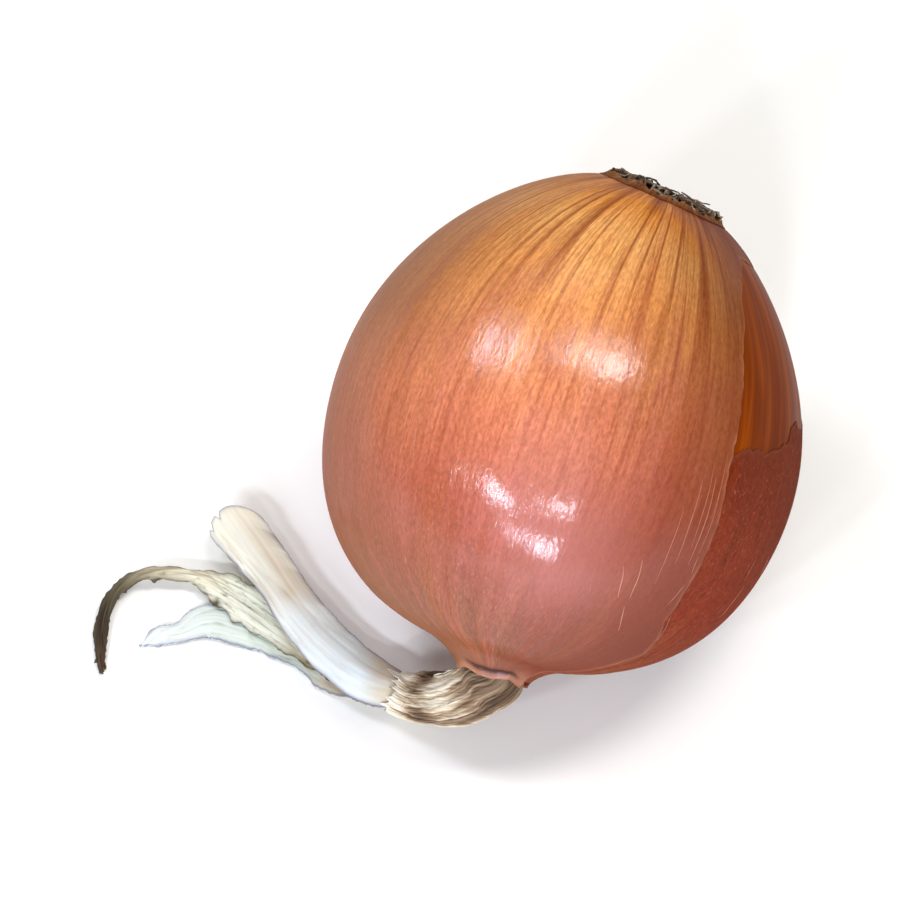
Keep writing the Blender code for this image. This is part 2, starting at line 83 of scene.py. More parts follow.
down = outline[:, 0] * np.sin(NECK_DROP) + outline[:, 1] * np.cos(NECK_DROP)
lowest = outline[down.argmax()]
AHEAD = lowest[0] * np.cos(NECK_DROP) - lowest[1] * np.sin(NECK_DROP)
BULB_HEIGHT = down.max() - FLAT_SPOT_DEPTH
BULB_MIDDLE = np.array((-AHEAD * np.cos(NECK_HEADING), -AHEAD * np.sin(NECK_HEADING), BULB_HEIGHT))
BULB_TURN = np.array(Euler((0.0, np.pi / 2 + NECK_DROP, NECK_HEADING)).to_matrix())


def askew(points):
    """The bulb grew a little askew: both its ends are tilted, the root end set aside and the lip leaning."""
    across, height = points[..., 1], points[..., 2]
    end = height / -ROOT_EDGE[0]
    aside = ROOT_SWAY * np.clip(-end, 0.0, None) ** 4 + LIP_LEAN * np.clip(height - LEAN_FROM, 0.0, None)
    tilt = np.where(height < 0, ROOT_TILT, NECK_TILT) * end ** 3
    return np.stack((points[..., 0], across + aside, height - tilt * across), axis=-1)


def lying(points):
    """Points about the bulb's own axis, put where the bulb lies."""
    return askew(points) @ BULB_TURN.T + BULB_MIDDLE


def swell(angle, radius):
    """The share by which a turned radius grows: an oval, three lobes and ribs, strongest at the belly."""
    belly = (radius / BULB_RADIUS) ** 2
    return 1 + belly * (OVAL * np.cos(2 * (angle - OVAL_TURN)) + LOBES * np.cos(3 * angle + LOBE_TURN)
                        + RIB_DEPTH * np.cos(RIBS * angle))


def relief(angle, height):
    """Sums of cosines: fine veins from root to neck, which drift in and out, and broad shallow dents."""
    rise = np.zeros(np.broadcast(angle, height).shape)
    for count, (turn, drift) in zip(VEINS, VEIN_TURNS):
        fading = 1 + np.cos(3 * angle + height / VEIN_DRIFT + drift)
        rise += VEIN_DEPTH * np.cos(count * angle + turn) * fading
    for (around, along), (turn, drift) in zip(DENTS, DENT_TURNS):
        rise += DENT_DEPTH * np.cos(around * angle + turn) * np.cos(along * height / DENT_LENGTH + drift)
    return rise


def on_outline(along, rows):
    """The outline's height and radius, or their slopes, at a distance along it from the root edge."""
    return [np.interp(along, outline_along, column) for column in rows.T]


def along_at(height):
    """The distance along the outline where it reaches a height on the bulb's axis."""
    return np.interp(height, outline[:, 0], outline_along)


def on_bulb(angle, along, lift):
    """Places on the bulb: at an angle about its axis, a distance along its outline from the root edge
    towards the lip, and raised by lift along the outline's normal."""
    height, radius = on_outline(along, outline)
    slope_height, slope_radius = on_outline(along, outline_slope)
    raised = lift + relief(angle, height) * np.clip(radius / BULB_RADIUS, 0.0, 1.0)
    radius = radius * swell(angle, radius) + raised * slope_height
    height = height - raised * slope_radius
    return lying(np.stack((radius * np.cos(angle), radius * np.sin(angle), height + 0 * angle), axis=-1))


def grain_on_bulb(angle, along):
    """For patterns: a place on a tube of the belly's radius, so that a vein keeps its place all along."""
    angle, height = np.broadcast_arrays(angle, on_outline(along, outline)[0])
    return np.stack((BULB_RADIUS * np.cos(angle), BULB_RADIUS * np.sin(angle), height), axis=-1)


def closed_tube(grid):
    """Points and faces of rings of points, wrapped round and closed at both ends by a pole."""
    rings, sides = grid.shape[:2]
    i, j = np.meshgrid(np.arange(rings - 1), np.arange(sides), indexing="ij")
    after = (j + 1) % sides
    quads = np.stack((i * sides + j, i * sides + after, (i + 1) * sides + after, (i + 1) * sides + j), -1)
    j, after = j[0], after[0]
    last = (rings - 1) * sides
    first_pole, last_pole = np.full(sides, rings * sides), np.full(sides, rings * sides + 1)
    fans = np.vstack((np.stack((first_pole, after, j), -1),
                      np.stack((last_pole, last + j, last + after), -1)))
    points = np.vstack((grid.reshape(-1, 3), grid[0].mean(0), grid[-1].mean(0)))
    return points, quads.reshape(-1, 4).tolist() + fans.tolist()


def outward_faces(points, faces):
    """The faces, turned over if they face inwards: the pyramids from the middle to them then sum below 0."""
    fans = np.array([(face[0], face[k], face[k + 1]) for face in faces for k in range(1, len(face) - 1)])
    a, b, c = np.moveaxis((points - points.mean(0))[fans], 1, 0)
    pyramids = np.einsum("ij,ij->i", a, np.cross(b, c)).sum()
    return [face[::-1] for face in faces] if pyramids < 0 else faces


SHARP_ANGLE = np.radians(55.0)


def add_piece(name, slot, finish, points, faces, **patterns):
    """A smooth closed piece, with a value for each point in each pattern. Its slot is not used."""
    mesh = bpy.data.meshes.new(name)
    mesh.from_pydata(points.tolist(), [], outward_faces(points, faces))
    for pattern, values in patterns.items():
        kind, field = ("FLOAT_VECTOR", "vector") if values.ndim == 2 else ("FLOAT", "value")
        mesh.attributes.new(pattern, kind, "POINT").data.foreach_set(field, values.ravel())
    mesh.materials.append(finish)
    mesh.shade_smooth()
    mesh.set_sharp_from_angle(angle=SHARP_ANGLE)
    piece = bpy.data.objects.new(name, mesh)
    bpy.context.scene.collection.objects.link(piece)
    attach(piece, "root")
    return piece


def linear(colour):
    """An sRGB hex colour turned to the linear red, green, blue and alpha that a socket takes."""
    screen = np.array([int(colour[i:i + 2], 16) for i in (1, 3, 5)]) / 255.0
    light = np.where(screen <= 0.04045, screen / 12.92, ((screen + 0.055) / 1.055) ** 2.4)
    return (*light, 1.0)


def add(tree, kind, inputs, stops=(), **settings):
    """Adds a node with its settings and colour stops. Each input is a value or another node's output."""
    node = tree.nodes.new(kind)
    for key, value in settings.items():
        setattr(node, key, value)
    for key, value in inputs.items():
        if isinstance(value, bpy.types.NodeSocket):
            tree.links.new(value, node.inputs[key])
        else:
            node.inputs[key].default_value = value
    if stops:
        band = node.color_ramp.elements
        band.remove(band[1])
        band[0].position, band[0].color = stops[0][0], linear(stops[0][1])
        for position, colour in stops[1:]:
            band.new(position).color = linear(colour)
    return node


# The sockets of a Mix node that mixes colours, by number
FACTOR, FIRST, SECOND, MIXED = 0, 6, 7, 2


def new_finish(name, values):
    """An empty material, its tree and its shader, whose constant values are set on its own sockets."""
    made = bpy.data.materials.new(name)
    made.use_nodes = True
    shader = made.node_tree.nodes["Principled BSDF"]
    for socket, value in values.items():
        shader.inputs[socket].default_value = value
    return made, made.node_tree, shader


def patterns_on(tree, sizes):
    """Noise on a piece's grain, one for each name: its size across and along the grain, and its detail."""
    grain = add(tree, "ShaderNodeAttribute", {}, attribute_name="grain").outputs["Vector"]
    made_of = {"grain": grain}
    for name, (across, along, detail) in sizes.items():
        scale = (1 / across, 1 / across, 1 / along)
        scaled = add(tree, "ShaderNodeMapping", {"Vector": grain, "Scale": scale})
        noise = add(tree, "ShaderNodeTexNoise",
                    {"Vector": scaled.outputs["Vector"], "Scale": 1.0, "Detail": detail, "Roughness": 0.6})
        made_of[name] = noise.outputs["Fac"]
    return made_of


def scale_finish():
    """Fleshy scale: a waxy skin with its own sap colour, streaked from root to neck, deeper in colour than
    dry skin and without its silky gloss."""
    made, tree, shader = new_finish("fleshy_scale", {"Roughness": 0.42, "Specular IOR Level": 0.03,
                                                     "Subsurface Weight": 0.05, "Subsurface Scale": 1.5 * MM})
    made_of = patterns_on(tree, {"streak": (2.2 * MM, 30 * MM, 2.0), "speck": (0.5 * MM, 0.8 * MM, 2.0)})
    colour = add(tree, "ShaderNodeValToRGB", {"Fac": made_of["streak"]},
                 stops=((0.28, "#642400"), (0.50, "#7C3200"), (0.74, "#984606")))
    bump = add(tree, "ShaderNodeBump", {"Height": made_of["speck"], "Strength": 0.3, "Distance": 0.03 * MM})
    tree.links.new(colour.outputs["Color"], shader.inputs["Base Color"])
    tree.links.new(bump.outputs["Normal"], shader.inputs["Normal"])
    return made


side = np.arange(SCALE_SIDES) * 2 * np.pi / SCALE_SIDES
along = np.linspace(0.0, LIP_ALONG - SCALE_SHORT_OF_LIP, SCALE_ROWS)[:, None]
skin_of_scale = on_bulb(side, along, 0.0)


def hollow_rings(rows):
    """Rings inside a hollow at an end of the bulb, from rows of height and radius about the axis."""
    rows = np.array(rows)
    height, radius = rows[:, :1], rows[:, 1:]
    return lying(np.stack((radius * np.cos(side), radius * np.sin(side), height + 0 * side), axis=-1))


root_floor, neck_floor = ROOT_EDGE[0] + ROOT_HOLLOW_DEPTH, LIP[0] - NECK_HOLLOW_DEPTH
root_rings = hollow_rings(((root_floor, ROOT_HOLLOW_RADIUS / 3), (root_floor, ROOT_HOLLOW_RADIUS),
                           (ROOT_EDGE[0] + ROOT_RIM, ROOT_HOLLOW_RADIUS)))
neck_rings = hollow_rings(((LIP[0] - LIP_RIM, NECK_HOLLOW_RADIUS), (neck_floor, NECK_HOLLOW_RADIUS),
                           (neck_floor, NECK_HOLLOW_RADIUS / 3)))
points, faces = closed_tube(np.concatenate((root_rings, skin_of_scale, neck_rings)))
points[:, 2] = np.maximum(points[:, 2], SCALE_UNDERSIDE)
grain_along = np.concatenate((np.zeros(3), along[:, 0], np.full(3, LIP_ALONG)))[:, None]
grain = grain_on_bulb(side, grain_along).reshape(-1, 3)
grain = np.vstack((grain, grain[0], grain[-1]))
bulb = add_piece("fleshy_bulb", "onion_skin", scale_finish(), points, faces, grain=grain)
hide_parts("bulb")


# The dry skins: papery films, once the outer scales, dried down onto the bulb. The outermost covers
# nearly all of it and has split along a vein on the right, where the darker skin below shows.
FILM = 0.07 * MM
UNDER_LIFT, OUTER_LIFT = 0.03 * MM, 0.13 * MM
OUTER_COLUMNS, OUTER_ROWS, CLOSER_AT_LIP = 340, 136, 1.3
ROOT_OVERHANG, ROOT_RAGS, LIP_OVERHANG, LIP_RAGS = 0.4 * MM, 0.3 * MM, 0.3 * MM, 0.14 * MM
# The split: the height of its torn top, and its right edge as rows of height in mm and angle in degrees
SPLIT_TOP_HEIGHT, SPLIT_TOP_RAGS, SPLIT_TOP_BLEND = -35.0 * MM, 0.7 * MM, 6.0
SPLIT_EDGE = np.array(((-35.0, 109.0), (-32.6, 116.5), (-28.5, 121.5), (-20.0, 124.5), (-12.0, 124.5),
                       (-2.0, 125.0), (8.0, 122.5), (17.0, 121.5), (24.0, 119.5), (27.5, 113.5),
                       (30.5, 109.5), (34.0, 112.0), (41.0, 118.0)))
SPLIT_EDGE_RAGS, SPLIT_EDGE_BLEND = np.radians(0.35), 0.45
SPLIT_FAR_EDGE, SPLIT_FAR_RAGS, SPLIT_FAR_BLEND = 58.0, np.radians(1.5), 0.2
SPLIT_CURL, SPLIT_CURL_WIDTH = 0.10 * MM, 0.7 * MM
TOP_PRESSED_DOWN, TOP_PRESSED_WIDTH = 0.95, 1.5 * MM
LIP_TONGUES, LIP_TONGUE_DEPTH = 5, 1.0 * MM
LIP_FLARE, LIP_FLARE_WIDTH = 0.35 * MM, 0.7 * MM
LIP_GROOVE_BACK, LIP_GROOVE_WIDTH, LIP_GROOVE_DEPTH = 1.4 * MM, 0.40 * MM, 0.22 * MM
LIP_GROOVE_AT, LIP_GROOVE_HALF_ANGLE = np.radians(170), 0.62
FAR = 99 * MM


def bell(place, half_width):
    """1 where the place is 0, falling as e to the minus square of the place over the half width."""
    return np.exp(-(place / half_width) ** 2)


def ragged(place, spacing):
    """Random heights from -1 to 1, one every spacing along the place, joined by straight lines."""
    knots = np.arange(place.min() - spacing, place.max() + 2 * spacing, spacing)
    return np.interp(place, knots, random.uniform(-1.0, 1.0, len(knots)))


def closed_sheet(top, bottom, keep, wrap):
    """Points and faces of a thin sheet between two grids, only where keep is true of a cell of the grid,
    with a wall along every edge of what is kept."""
    rows, columns = top.shape[:2]
    i, j = np.nonzero(keep)
    after = (j + 1) % columns
    a, b, c, d = i * columns + j, i * columns + after, (i + 1) * columns + after, (i + 1) * columns + j
    under = rows * columns
    faces = [np.stack((a, b, c, d), -1), under + np.stack((d, c, b, a), -1)]
    framed = np.zeros((keep.shape[0] + 2, keep.shape[1] + 2), dtype=bool)
    framed[1:-1, 1:-1] = keep
    if wrap:
        framed[1:-1, 0], framed[1:-1, -1] = keep[:, -1], keep[:, 0]
    for (di, dj), start, end in (((-1, 0), a, b), ((0, 1), b, c), ((1, 0), c, d), ((0, -1), d, a)):
        open_side = ~framed[i + 1 + di, j + 1 + dj]
        p, q = start[open_side], end[open_side]
        faces.append(np.stack((q, p, under + p, under + q), -1))
    faces = np.vstack(faces)
    points = np.vstack((top.reshape(-1, 3), bottom.reshape(-1, 3)))
    used, faces = np.unique(faces, return_inverse=True)
    return points[used], faces.reshape(-1, 4).tolist(), used


def sheet_piece(name, slot, finish, top, bottom, keep=None, wrap=False, **patterns):
    """A thin sheet as a piece. Each pattern holds one value for each point of the grid."""
    rows, columns = top.shape[:2]
    if keep is None:
        keep = np.ones((rows - 1, columns if wrap else columns - 1), dtype=bool)
    points, faces, used = closed_sheet(top, bottom, keep, wrap)
    both = {}
    for pattern, values in patterns.items():
        values = values.reshape(rows * columns, -1).squeeze()
        both[pattern] = np.concatenate((values, values))[used]
    return add_piece(name, slot, finish, points, faces, **both)


# Noise of dry skin: the size across and along the grain, and the detail. The real cells are about 0.1 mm
# wide, so the specks that stand for them are drawn coarser, to show.
SKIN_PATTERNS = {"speck": (0.48 * MM, 0.95 * MM, 3.0), "streak": (0.8 * MM, 15 * MM, 5.0),
                 "band": (7.0 * MM, 50 * MM, 2.0), "vein": (5.5 * MM, 160 * MM, 0.0),
                 "fine_vein": (1.9 * MM, 45 * MM, 1.0), "ripple": (4.0 * MM, 7.0 * MM, 1.0),
                 "wrinkle": (1.1 * MM, 2.8 * MM, 2.0), "patch": (5.0 * MM, 16 * MM, 3.0),
                 "fleck": (0.30 * MM, 0.75 * MM, 1.0)}
# Each bump: its pattern, its strength and its depth. The last is too fine for the gloss to follow.
SKIN_BUMPS = (("speck", 0.7, 0.06 * MM), ("wrinkle", 0.5, 0.11 * MM), ("ripple", 0.5, 0.16 * MM),
              ("streak", 0.35, 0.06 * MM))
# Each vein: its pattern, half its width on the noise, and its strength at the root and at the belly
SKIN_VEINS = (("vein", 0.055, 1.0, 0.25), ("fine_vein", 0.050, 0.55, 0.18))
# Colours laid over by zone. The darkest are painted shade: the dark brown in the lip's groove, the browner
# tan on the left limb and part of the deep brown beside the split on the right; the rest are bare and torn
# skin and a rosy patch.
SKIN_ZONES = {"tan": "#865434", "rose": "#D29088", "bare": "#6A2810", "edge": "#B0785A", "crease": "#421A0C"}
# Heights at which the root's colours begin and the neck's end, the rosy patches have their full strength,
# and the veins are at their boldest and at their faintest
ROOT_COLOUR_AT, NECK_COLOUR_AT, COLOUR_WANDER = -32 * MM, 50 * MM, 16 * MM
ROSY_AT, VEINS_BOLD_AT, VEINS_FAINT_AT = -10 * MM, -34 * MM, -12 * MM


def skin_finish(name, stops, colours, vein_strength, coat):
    """Dried onion skin: a cellulose film with a silky gloss. Its stops run from the root to the neck. Over
    them lie the colours of its bands, patches, streaks, veins and flecks, a fine mottle of cells, and the
    zones of bare and torn skin, and of painted shade in the lip's groove, on the left limb and over part of
    the right side."""
    made, tree, shader = new_finish(name, {
        "Roughness": 0.42, "Specular IOR Level": 0.0, "Coat Weight": coat, "Coat IOR": 2.4,
        "Coat Roughness": 0.14, "Subsurface Weight": 0.06, "Subsurface Scale": 1.0 * MM})
    made_of = patterns_on(tree, SKIN_PATTERNS)
    height = add(tree, "ShaderNodeSeparateXYZ", {"Vector": made_of["grain"]}).outputs["Z"]
    wander = add(tree, "ShaderNodeMath", {0: made_of["band"], 1: COLOUR_WANDER}, operation="MULTIPLY")
    place = add(tree, "ShaderNodeMath", {0: height, 1: wander.outputs[0]}, operation="ADD")
    share = add(tree, "ShaderNodeMapRange", {"Value": place.outputs[0], "From Min": ROOT_COLOUR_AT,
                                             "From Max": NECK_COLOUR_AT})
    base = add(tree, "ShaderNodeValToRGB", {"Fac": share.outputs["Result"]}, stops=stops)
    rosier = add(tree, "ShaderNodeMapRange", {
        "Value": height, "From Min": ROOT_COLOUR_AT, "From Max": ROSY_AT,
        "To Min": 0.05, "To Max": 0.38}).outputs["Result"]
    reach = {}
    for pattern, low, high, strength in (("band", 0.50, 0.72, 0.35), ("patch", 0.48, 0.66, rosier),
                                         ("streak", 0.48, 0.70, 0.60), ("fleck", 0.60, 0.80, 0.24)):
        spread = add(tree, "ShaderNodeMapRange", {"Value": made_of[pattern], "From Min": low,
                                                  "From Max": high, "To Max": strength})
        reach[pattern] = spread.outputs["Result"]
    for pattern, thin, at_root, at_belly in SKIN_VEINS:
        middle = add(tree, "ShaderNodeMath", {0: made_of[pattern], 1: 0.5}, operation="SUBTRACT")
        away = add(tree, "ShaderNodeMath", {0: middle.outputs[0]}, operation="ABSOLUTE")
        strength = add(tree, "ShaderNodeMapRange", {
            "Value": height, "From Min": VEINS_BOLD_AT, "From Max": VEINS_FAINT_AT,
            "To Min": at_root * vein_strength, "To Max": at_belly * vein_strength})
        line = add(tree, "ShaderNodeMapRange", {"Value": away.outputs[0], "From Min": 0.0, "From Max": thin,
                                                "To Min": strength.outputs["Result"], "To Max": 0.0},
                   interpolation_type="SMOOTHSTEP")
        reach[pattern] = line.outputs["Result"]
    mottle = add(tree, "ShaderNodeMapRange", {"Value": made_of["speck"], "From Min": 0.33, "From Max": 0.67,
                                              "To Min": 0.76, "To Max": 1.22})
    layers = [(reach[pattern], linear(colour), "MIX") for pattern, colour in colours.items()]
    layers.insert(-1, (1.0, mottle.outputs["Result"], "MULTIPLY"))
    for zone, colour in SKIN_ZONES.items():
        worn = add(tree, "ShaderNodeAttribute", {}, attribute_name=zone).outputs["Fac"]
        layers.append((worn, linear(colour), "MIX"))
    mixed = base.outputs["Color"]
    for factor, over, blend in layers:
        mixed = add(tree, "ShaderNodeMix", {FACTOR: factor, FIRST: mixed, SECOND: over},
                    data_type="RGBA", blend_type=blend).outputs[MIXED]
    below, normals = {}, []
    for pattern, strength, depth in SKIN_BUMPS:
        bump = add(tree, "ShaderNodeBump", {"Height": made_of[pattern], "Strength": strength,
                                            "Distance": depth, **below})
        normals.append(bump.outputs["Normal"])
        below = {"Normal": normals[-1]}
    tree.links.new(mixed, shader.inputs["Base Color"])
    tree.links.new(normals[-1], shader.inputs["Normal"])
    tree.links.new(normals[-2], shader.inputs["Coat Normal"])
    return made


OUTER_STOPS = ((0.00, "#7E360C"), (0.045, "#F09A42"), (0.11, "#FFB868"), (0.22, "#F6A458"), (0.34, "#E4925A"),
               (0.50, "#D47C58"), (0.66, "#AC5843"), (0.80, "#8E4A38"), (0.90, "#7C503C"), (1.00, "#704C36"))
OUTER_COLOURS = {"band": "#CC7040", "patch": "#BC6A5E", "streak": "#984428", "vein": "#8A3C10",
                 "fine_vein": "#8A3C10", "fleck": "#E6A88C"}
UNDER_STOPS = ((0.00, "#7A300C"), (0.45, "#742A0E"), (0.75, "#7E301C"), (1.00, "#7C4A30"))
UNDER_COLOURS = {"band": "#94441E", "patch": "#7C3420", "streak": "#5A200C", "vein": "#4A1A08",
                 "fine_vein": "#4A1A08", "fleck": "#C48A68"}


# The outer film, on a grid whose lines bend to follow the split's edges. Its ends stop in rags and tongues.
column_angle = np.arange(OUTER_COLUMNS) * 2 * np.pi / OUTER_COLUMNS
right_column = int(round(SPLIT_EDGE[0, 1] / 360.0 * OUTER_COLUMNS))
far_column = int(round(SPLIT_FAR_EDGE / 360.0 * OUTER_COLUMNS))
right_angle, far_angle = column_angle[right_column], column_angle[far_column]
root_end = ROOT_RAGS * ragged(column_angle, spacing=0.08) - ROOT_OVERHANG
tongue = 1.0 - abs(np.sin(LIP_TONGUES * column_angle / 2))
lip_end = LIP_ALONG + LIP_OVERHANG - LIP_TONGUE_DEPTH * tongue + LIP_RAGS * ragged(column_angle, spacing=0.2)
row_number = np.arange(OUTER_ROWS)[:, None]
row_share = 1 - (1 - np.linspace(0.0, 1.0, OUTER_ROWS)) ** CLOSER_AT_LIP
along = root_end + row_share[:, None] * (lip_end - root_end)
split_row = int(np.searchsorted(row_share, along_at(SPLIT_TOP_HEIGHT) / LIP_ALONG))
in_split = (column_angle > far_angle) & (column_angle < right_angle)
top_rags = SPLIT_TOP_RAGS * ragged(column_angle, spacing=0.05) * in_split
along += bell(row_number - split_row, SPLIT_TOP_BLEND) * top_rags
height, radius = on_outline(along, outline)

# The columns beside the split turn about the axis to meet its edges, less and less away from them
edge_height, far_height = height[:, right_column], height[:, far_column]
edge_shift = np.radians(np.interp(edge_height / MM, *SPLIT_EDGE.T)) - right_angle
edge_shift = edge_shift + SPLIT_EDGE_RAGS * ragged(edge_height, spacing=1.1 * MM)
far_shift = SPLIT_FAR_RAGS * ragged(far_height, spacing=3.0 * MM)
past_right, past_far = column_angle >= right_angle, column_angle <= far_angle
shift = (edge_shift[:, None] * bell(column_angle - right_angle, SPLIT_EDGE_BLEND) * past_right
         + far_shift[:, None] * bell(far_angle - column_angle, SPLIT_FAR_BLEND) * past_far)
angle = column_angle + (row_number >= split_row - 1) * shift
keep = np.ones((OUTER_ROWS - 1, OUTER_COLUMNS), dtype=bool)
keep[split_row:, far_column:right_column] = False

# How far each point is from the split and from the lip, and how the film lifts there
from_right = np.where(past_right, angle - angle[:, right_column, None], np.pi)
from_far = np.where(past_far, angle[:, far_column, None] - angle, np.pi)
from_split = np.where(row_number >= split_row, np.minimum(abs(from_right), abs(from_far)) * radius, FAR)
from_top = np.where(in_split, abs(along - along[split_row]), FAR)
from_edge = np.minimum(from_split, from_top)
from_lip = lip_end - along
uneven = (1 + 0.6 * ragged(edge_height, spacing=4 * MM))[:, None]
curl = SPLIT_CURL * np.exp(-from_edge / SPLIT_CURL_WIDTH) * uneven
curl = curl - (OUTER_LIFT + curl) * TOP_PRESSED_DOWN * np.exp(-from_top / TOP_PRESSED_WIDTH)
groove = (bell(from_lip - LIP_GROOVE_BACK, LIP_GROOVE_WIDTH)
          * np.exp(-((angle - LIP_GROOVE_AT) / LIP_GROOVE_HALF_ANGLE) ** 4))
lift = OUTER_LIFT + curl + LIP_FLARE * np.exp(-from_lip / LIP_FLARE_WIDTH) - LIP_GROOVE_DEPTH * groove

# The zones: a pale torn line along the split and the lip, bare skin below the split's top, a rosy patch on
# the shoulder, bare skin beside the split with painted shade over the right side there, and painted shade as
# a browner tan on the left limb and as dark brown in the lip's groove
DRIED_LIP_ANGLES, DRIED_LIP_WIDTHS = np.radians((100, 130, 150, 200)), np.array((2.6, 2.6, 1.0, 0.9)) * MM
TORN_LINE_WIDTH, BARED_TOP_WIDTH, BARED_FROM, BARED_HALF_ANGLE = 0.3 * MM, 2.5 * MM, np.radians(112.0), 0.82
TAN_AT, TAN_HALF_ANGLE = np.radians(240.0), 0.70
ROSE_AT, ROSE_HALF_ANGLE, ROSE_HEIGHT, ROSE_HALF_HEIGHT = np.radians(156.0), 0.42, 18 * MM, 12 * MM
uneven = (1 + ragged(edge_height, spacing=1.5 * MM))[:, None]
torn_line = 0.24 * np.exp(-from_edge / TORN_LINE_WIDTH) * uneven
dried_lip = bell(np.clip(from_lip, 0.0, None), np.interp(angle, DRIED_LIP_ANGLES, DRIED_LIP_WIDTHS))
edge = np.maximum(torn_line, 0.85 * dried_lip * (1 - groove))
# Partly the skin's own darker colour beside the split and partly painted shade: the right side past the
# split's edge is darkened.
bared_side = 0.92 * bell(np.clip(angle - BARED_FROM, 0.0, None), BARED_HALF_ANGLE)
bared_top = 0.85 * bell(np.clip(from_top - 0.2 * MM, 0.0, None), BARED_TOP_WIDTH)
# The lip's groove also takes the dark bare colour, as painted shade in the crease.
bare = np.maximum(np.maximum(bared_side, bared_top), groove)
# Painted shade: the left limb is tinted a browner tan, most strongly in a band of heights on the root's half.
soil = np.clip(-height / (10 * MM), 0.0, 1.0) * np.clip((height + 34 * MM) / (14 * MM), 0.0, 1.0)
tan = (0.62 + 0.18 * soil) * bell(angle - TAN_AT, TAN_HALF_ANGLE)
rose = 0.45 * bell(angle - ROSE_AT, ROSE_HALF_ANGLE) * bell(height - ROSE_HEIGHT, ROSE_HALF_HEIGHT)
# Painted shade: the groove above the lip's curled edge is darkened to dark brown, as shade in a crease.
crease = np.clip(1.8 * groove, 0.0, 1.0)
top, bottom = on_bulb(angle, along, lift + FILM), on_bulb(angle, along, lift)
top[..., 2] = np.maximum(top[..., 2], 0.0)
bottom[..., 2] = np.maximum(bottom[..., 2], 0.1 * MM)
outer_finish = skin_finish("dried_outer_skin", OUTER_STOPS, OUTER_COLOURS, 0.8, 0.16)
sheet_piece("outer_dry_skin", "onion_skin", outer_finish, top, bottom, keep, True,
            grain=grain_on_bulb(angle, along), edge=edge, bare=bare, tan=tan, rose=rose, crease=crease)

# The skin below it, a patch that reaches a little under the outer one on both sides of the split. Its
# torn top is given by rows of angle in degrees and height in mm.
UNDER_COLUMNS, UNDER_ROWS, UNDER_SHORT_OF_LIP, UNDER_FILM = 130, 80, 0.8 * MM, 0.7 * FILM
UNDER_CURL, UNDER_CURL_WIDTH, UNDER_TORN_WIDTH, UNDER_BARED_WIDTH = 0.06 * MM, 0.6 * MM, 0.35 * MM, 3.0 * MM
UNDER_TOP = np.array(((46.0, -10.0), (80.0, -13.0), (93.0, -12.0), (112.0, -7.0), (125.0, -3.5),
                      (140.0, -3.0)))
across = np.linspace(*np.radians(UNDER_TOP[[0, -1], 0]), UNDER_COLUMNS)
top_height = np.interp(np.degrees(across), *UNDER_TOP.T) * MM
top_height += 1.4 * MM * ragged(across, spacing=0.06) + 0.5 * MM * ragged(across, spacing=0.02)
top_along = along_at(top_height)
share = np.linspace(0.0, 1.0, UNDER_ROWS)[:, None]
along = top_along + share * (LIP_ALONG - UNDER_SHORT_OF_LIP - top_along)
from_top = along - top_along
lift = UNDER_LIFT + UNDER_CURL * np.exp(-from_top / UNDER_CURL_WIDTH)
top, bottom = on_bulb(across, along, lift + UNDER_FILM), on_bulb(across, along, lift)
under_finish = skin_finish("dried_under_skin", UNDER_STOPS, UNDER_COLOURS, 0.5, 0.05)
sheet_piece("under_dry_skin", "onion_skin", under_finish, top, bottom, grain=grain_on_bulb(across, along),
            edge=0.08 * np.exp(-from_top / UNDER_TORN_WIDTH), bare=0.55 * bell(from_top, UNDER_BARED_WIDTH))


def dry_fibre_finish(name, colours, roughness):
    """Dried plant fibre: matt, with its own tone on each fibre, from the dark colour to the pale one, with
    streaks and pits along it, and a mauve blush where it is thin."""
    made, tree, shader = new_finish(name, {"Roughness": roughness, "Specular IOR Level": 0.2})
    made_of = patterns_on(tree, {"streak": (0.25 * MM, 3.0 * MM, 4.0), "pit": (0.3 * MM, 0.6 * MM, 3.0)})
    tone, blush = (add(tree, "ShaderNodeAttribute", {}, attribute_name=value).outputs["Fac"]
                   for value in ("tone", "blush"))
    mixed = add(tree, "ShaderNodeMath", {0: made_of["streak"], 1: 0.9, 2: tone}, operation="MULTIPLY_ADD")
    share = add(tree, "ShaderNodeMapRange", {"Value": mixed.outputs[0], "From Min": 0.45, "From Max": 1.45})
    stops = [(k / (len(colours) - 1), colour) for k, colour in enumerate(colours)]
    colour = add(tree, "ShaderNodeValToRGB", {"Fac": share.outputs["Result"]}, stops=stops)
    blushed = add(tree, "ShaderNodeMix", {FACTOR: blush, FIRST: colour.outputs["Color"],
                                          SECOND: linear("#8C6A60")}, data_type="RGBA")
    bump = add(tree, "ShaderNodeBump", {"Height": made_of["pit"], "Strength": 0.6, "Distance": 0.10 * MM})
    tree.links.new(blushed.outputs[MIXED], shader.inputs["Base Color"])
    tree.links.new(bump.outputs["Normal"], shader.inputs["Normal"])
    return made


def many_tubes(name, slot, finish, rings, tone):
    """One piece from many closed tubes of the same number of rings and sides, each with its own tone."""
    points, faces, tones = [], [], []
    for tube_rings, tube_tone in zip(rings, tone):
        tube_points, tube_faces = closed_tube(tube_rings)
        first = sum(map(len, points))
        faces += [[corner + first for corner in face] for face in outward_faces(tube_points, tube_faces)]
        points.append(tube_points)
        tones.append(np.full(len(tube_points), tube_tone))
    points = np.vstack(points)
    return add_piece(name, slot, finish, points, faces, grain=points, tone=np.concatenate(tones))


def unit(vectors):
    """The vectors, each divided by its own length."""
    return vectors / np.linalg.norm(vectors, axis=-1)[..., None]


def tube_rings(middles, first, second, sides, radius):
    """Rings about the middles: the radius times the first side by the cosine of the turn, and the second
    side by its sine."""
    turn = (np.arange(sides) * 2 * np.pi / sides)[:, None]
    around = first[..., None, :] * np.cos(turn) + second[..., None, :] * np.sin(turn)
    return middles[..., None, :] + radius[..., None, None] * around


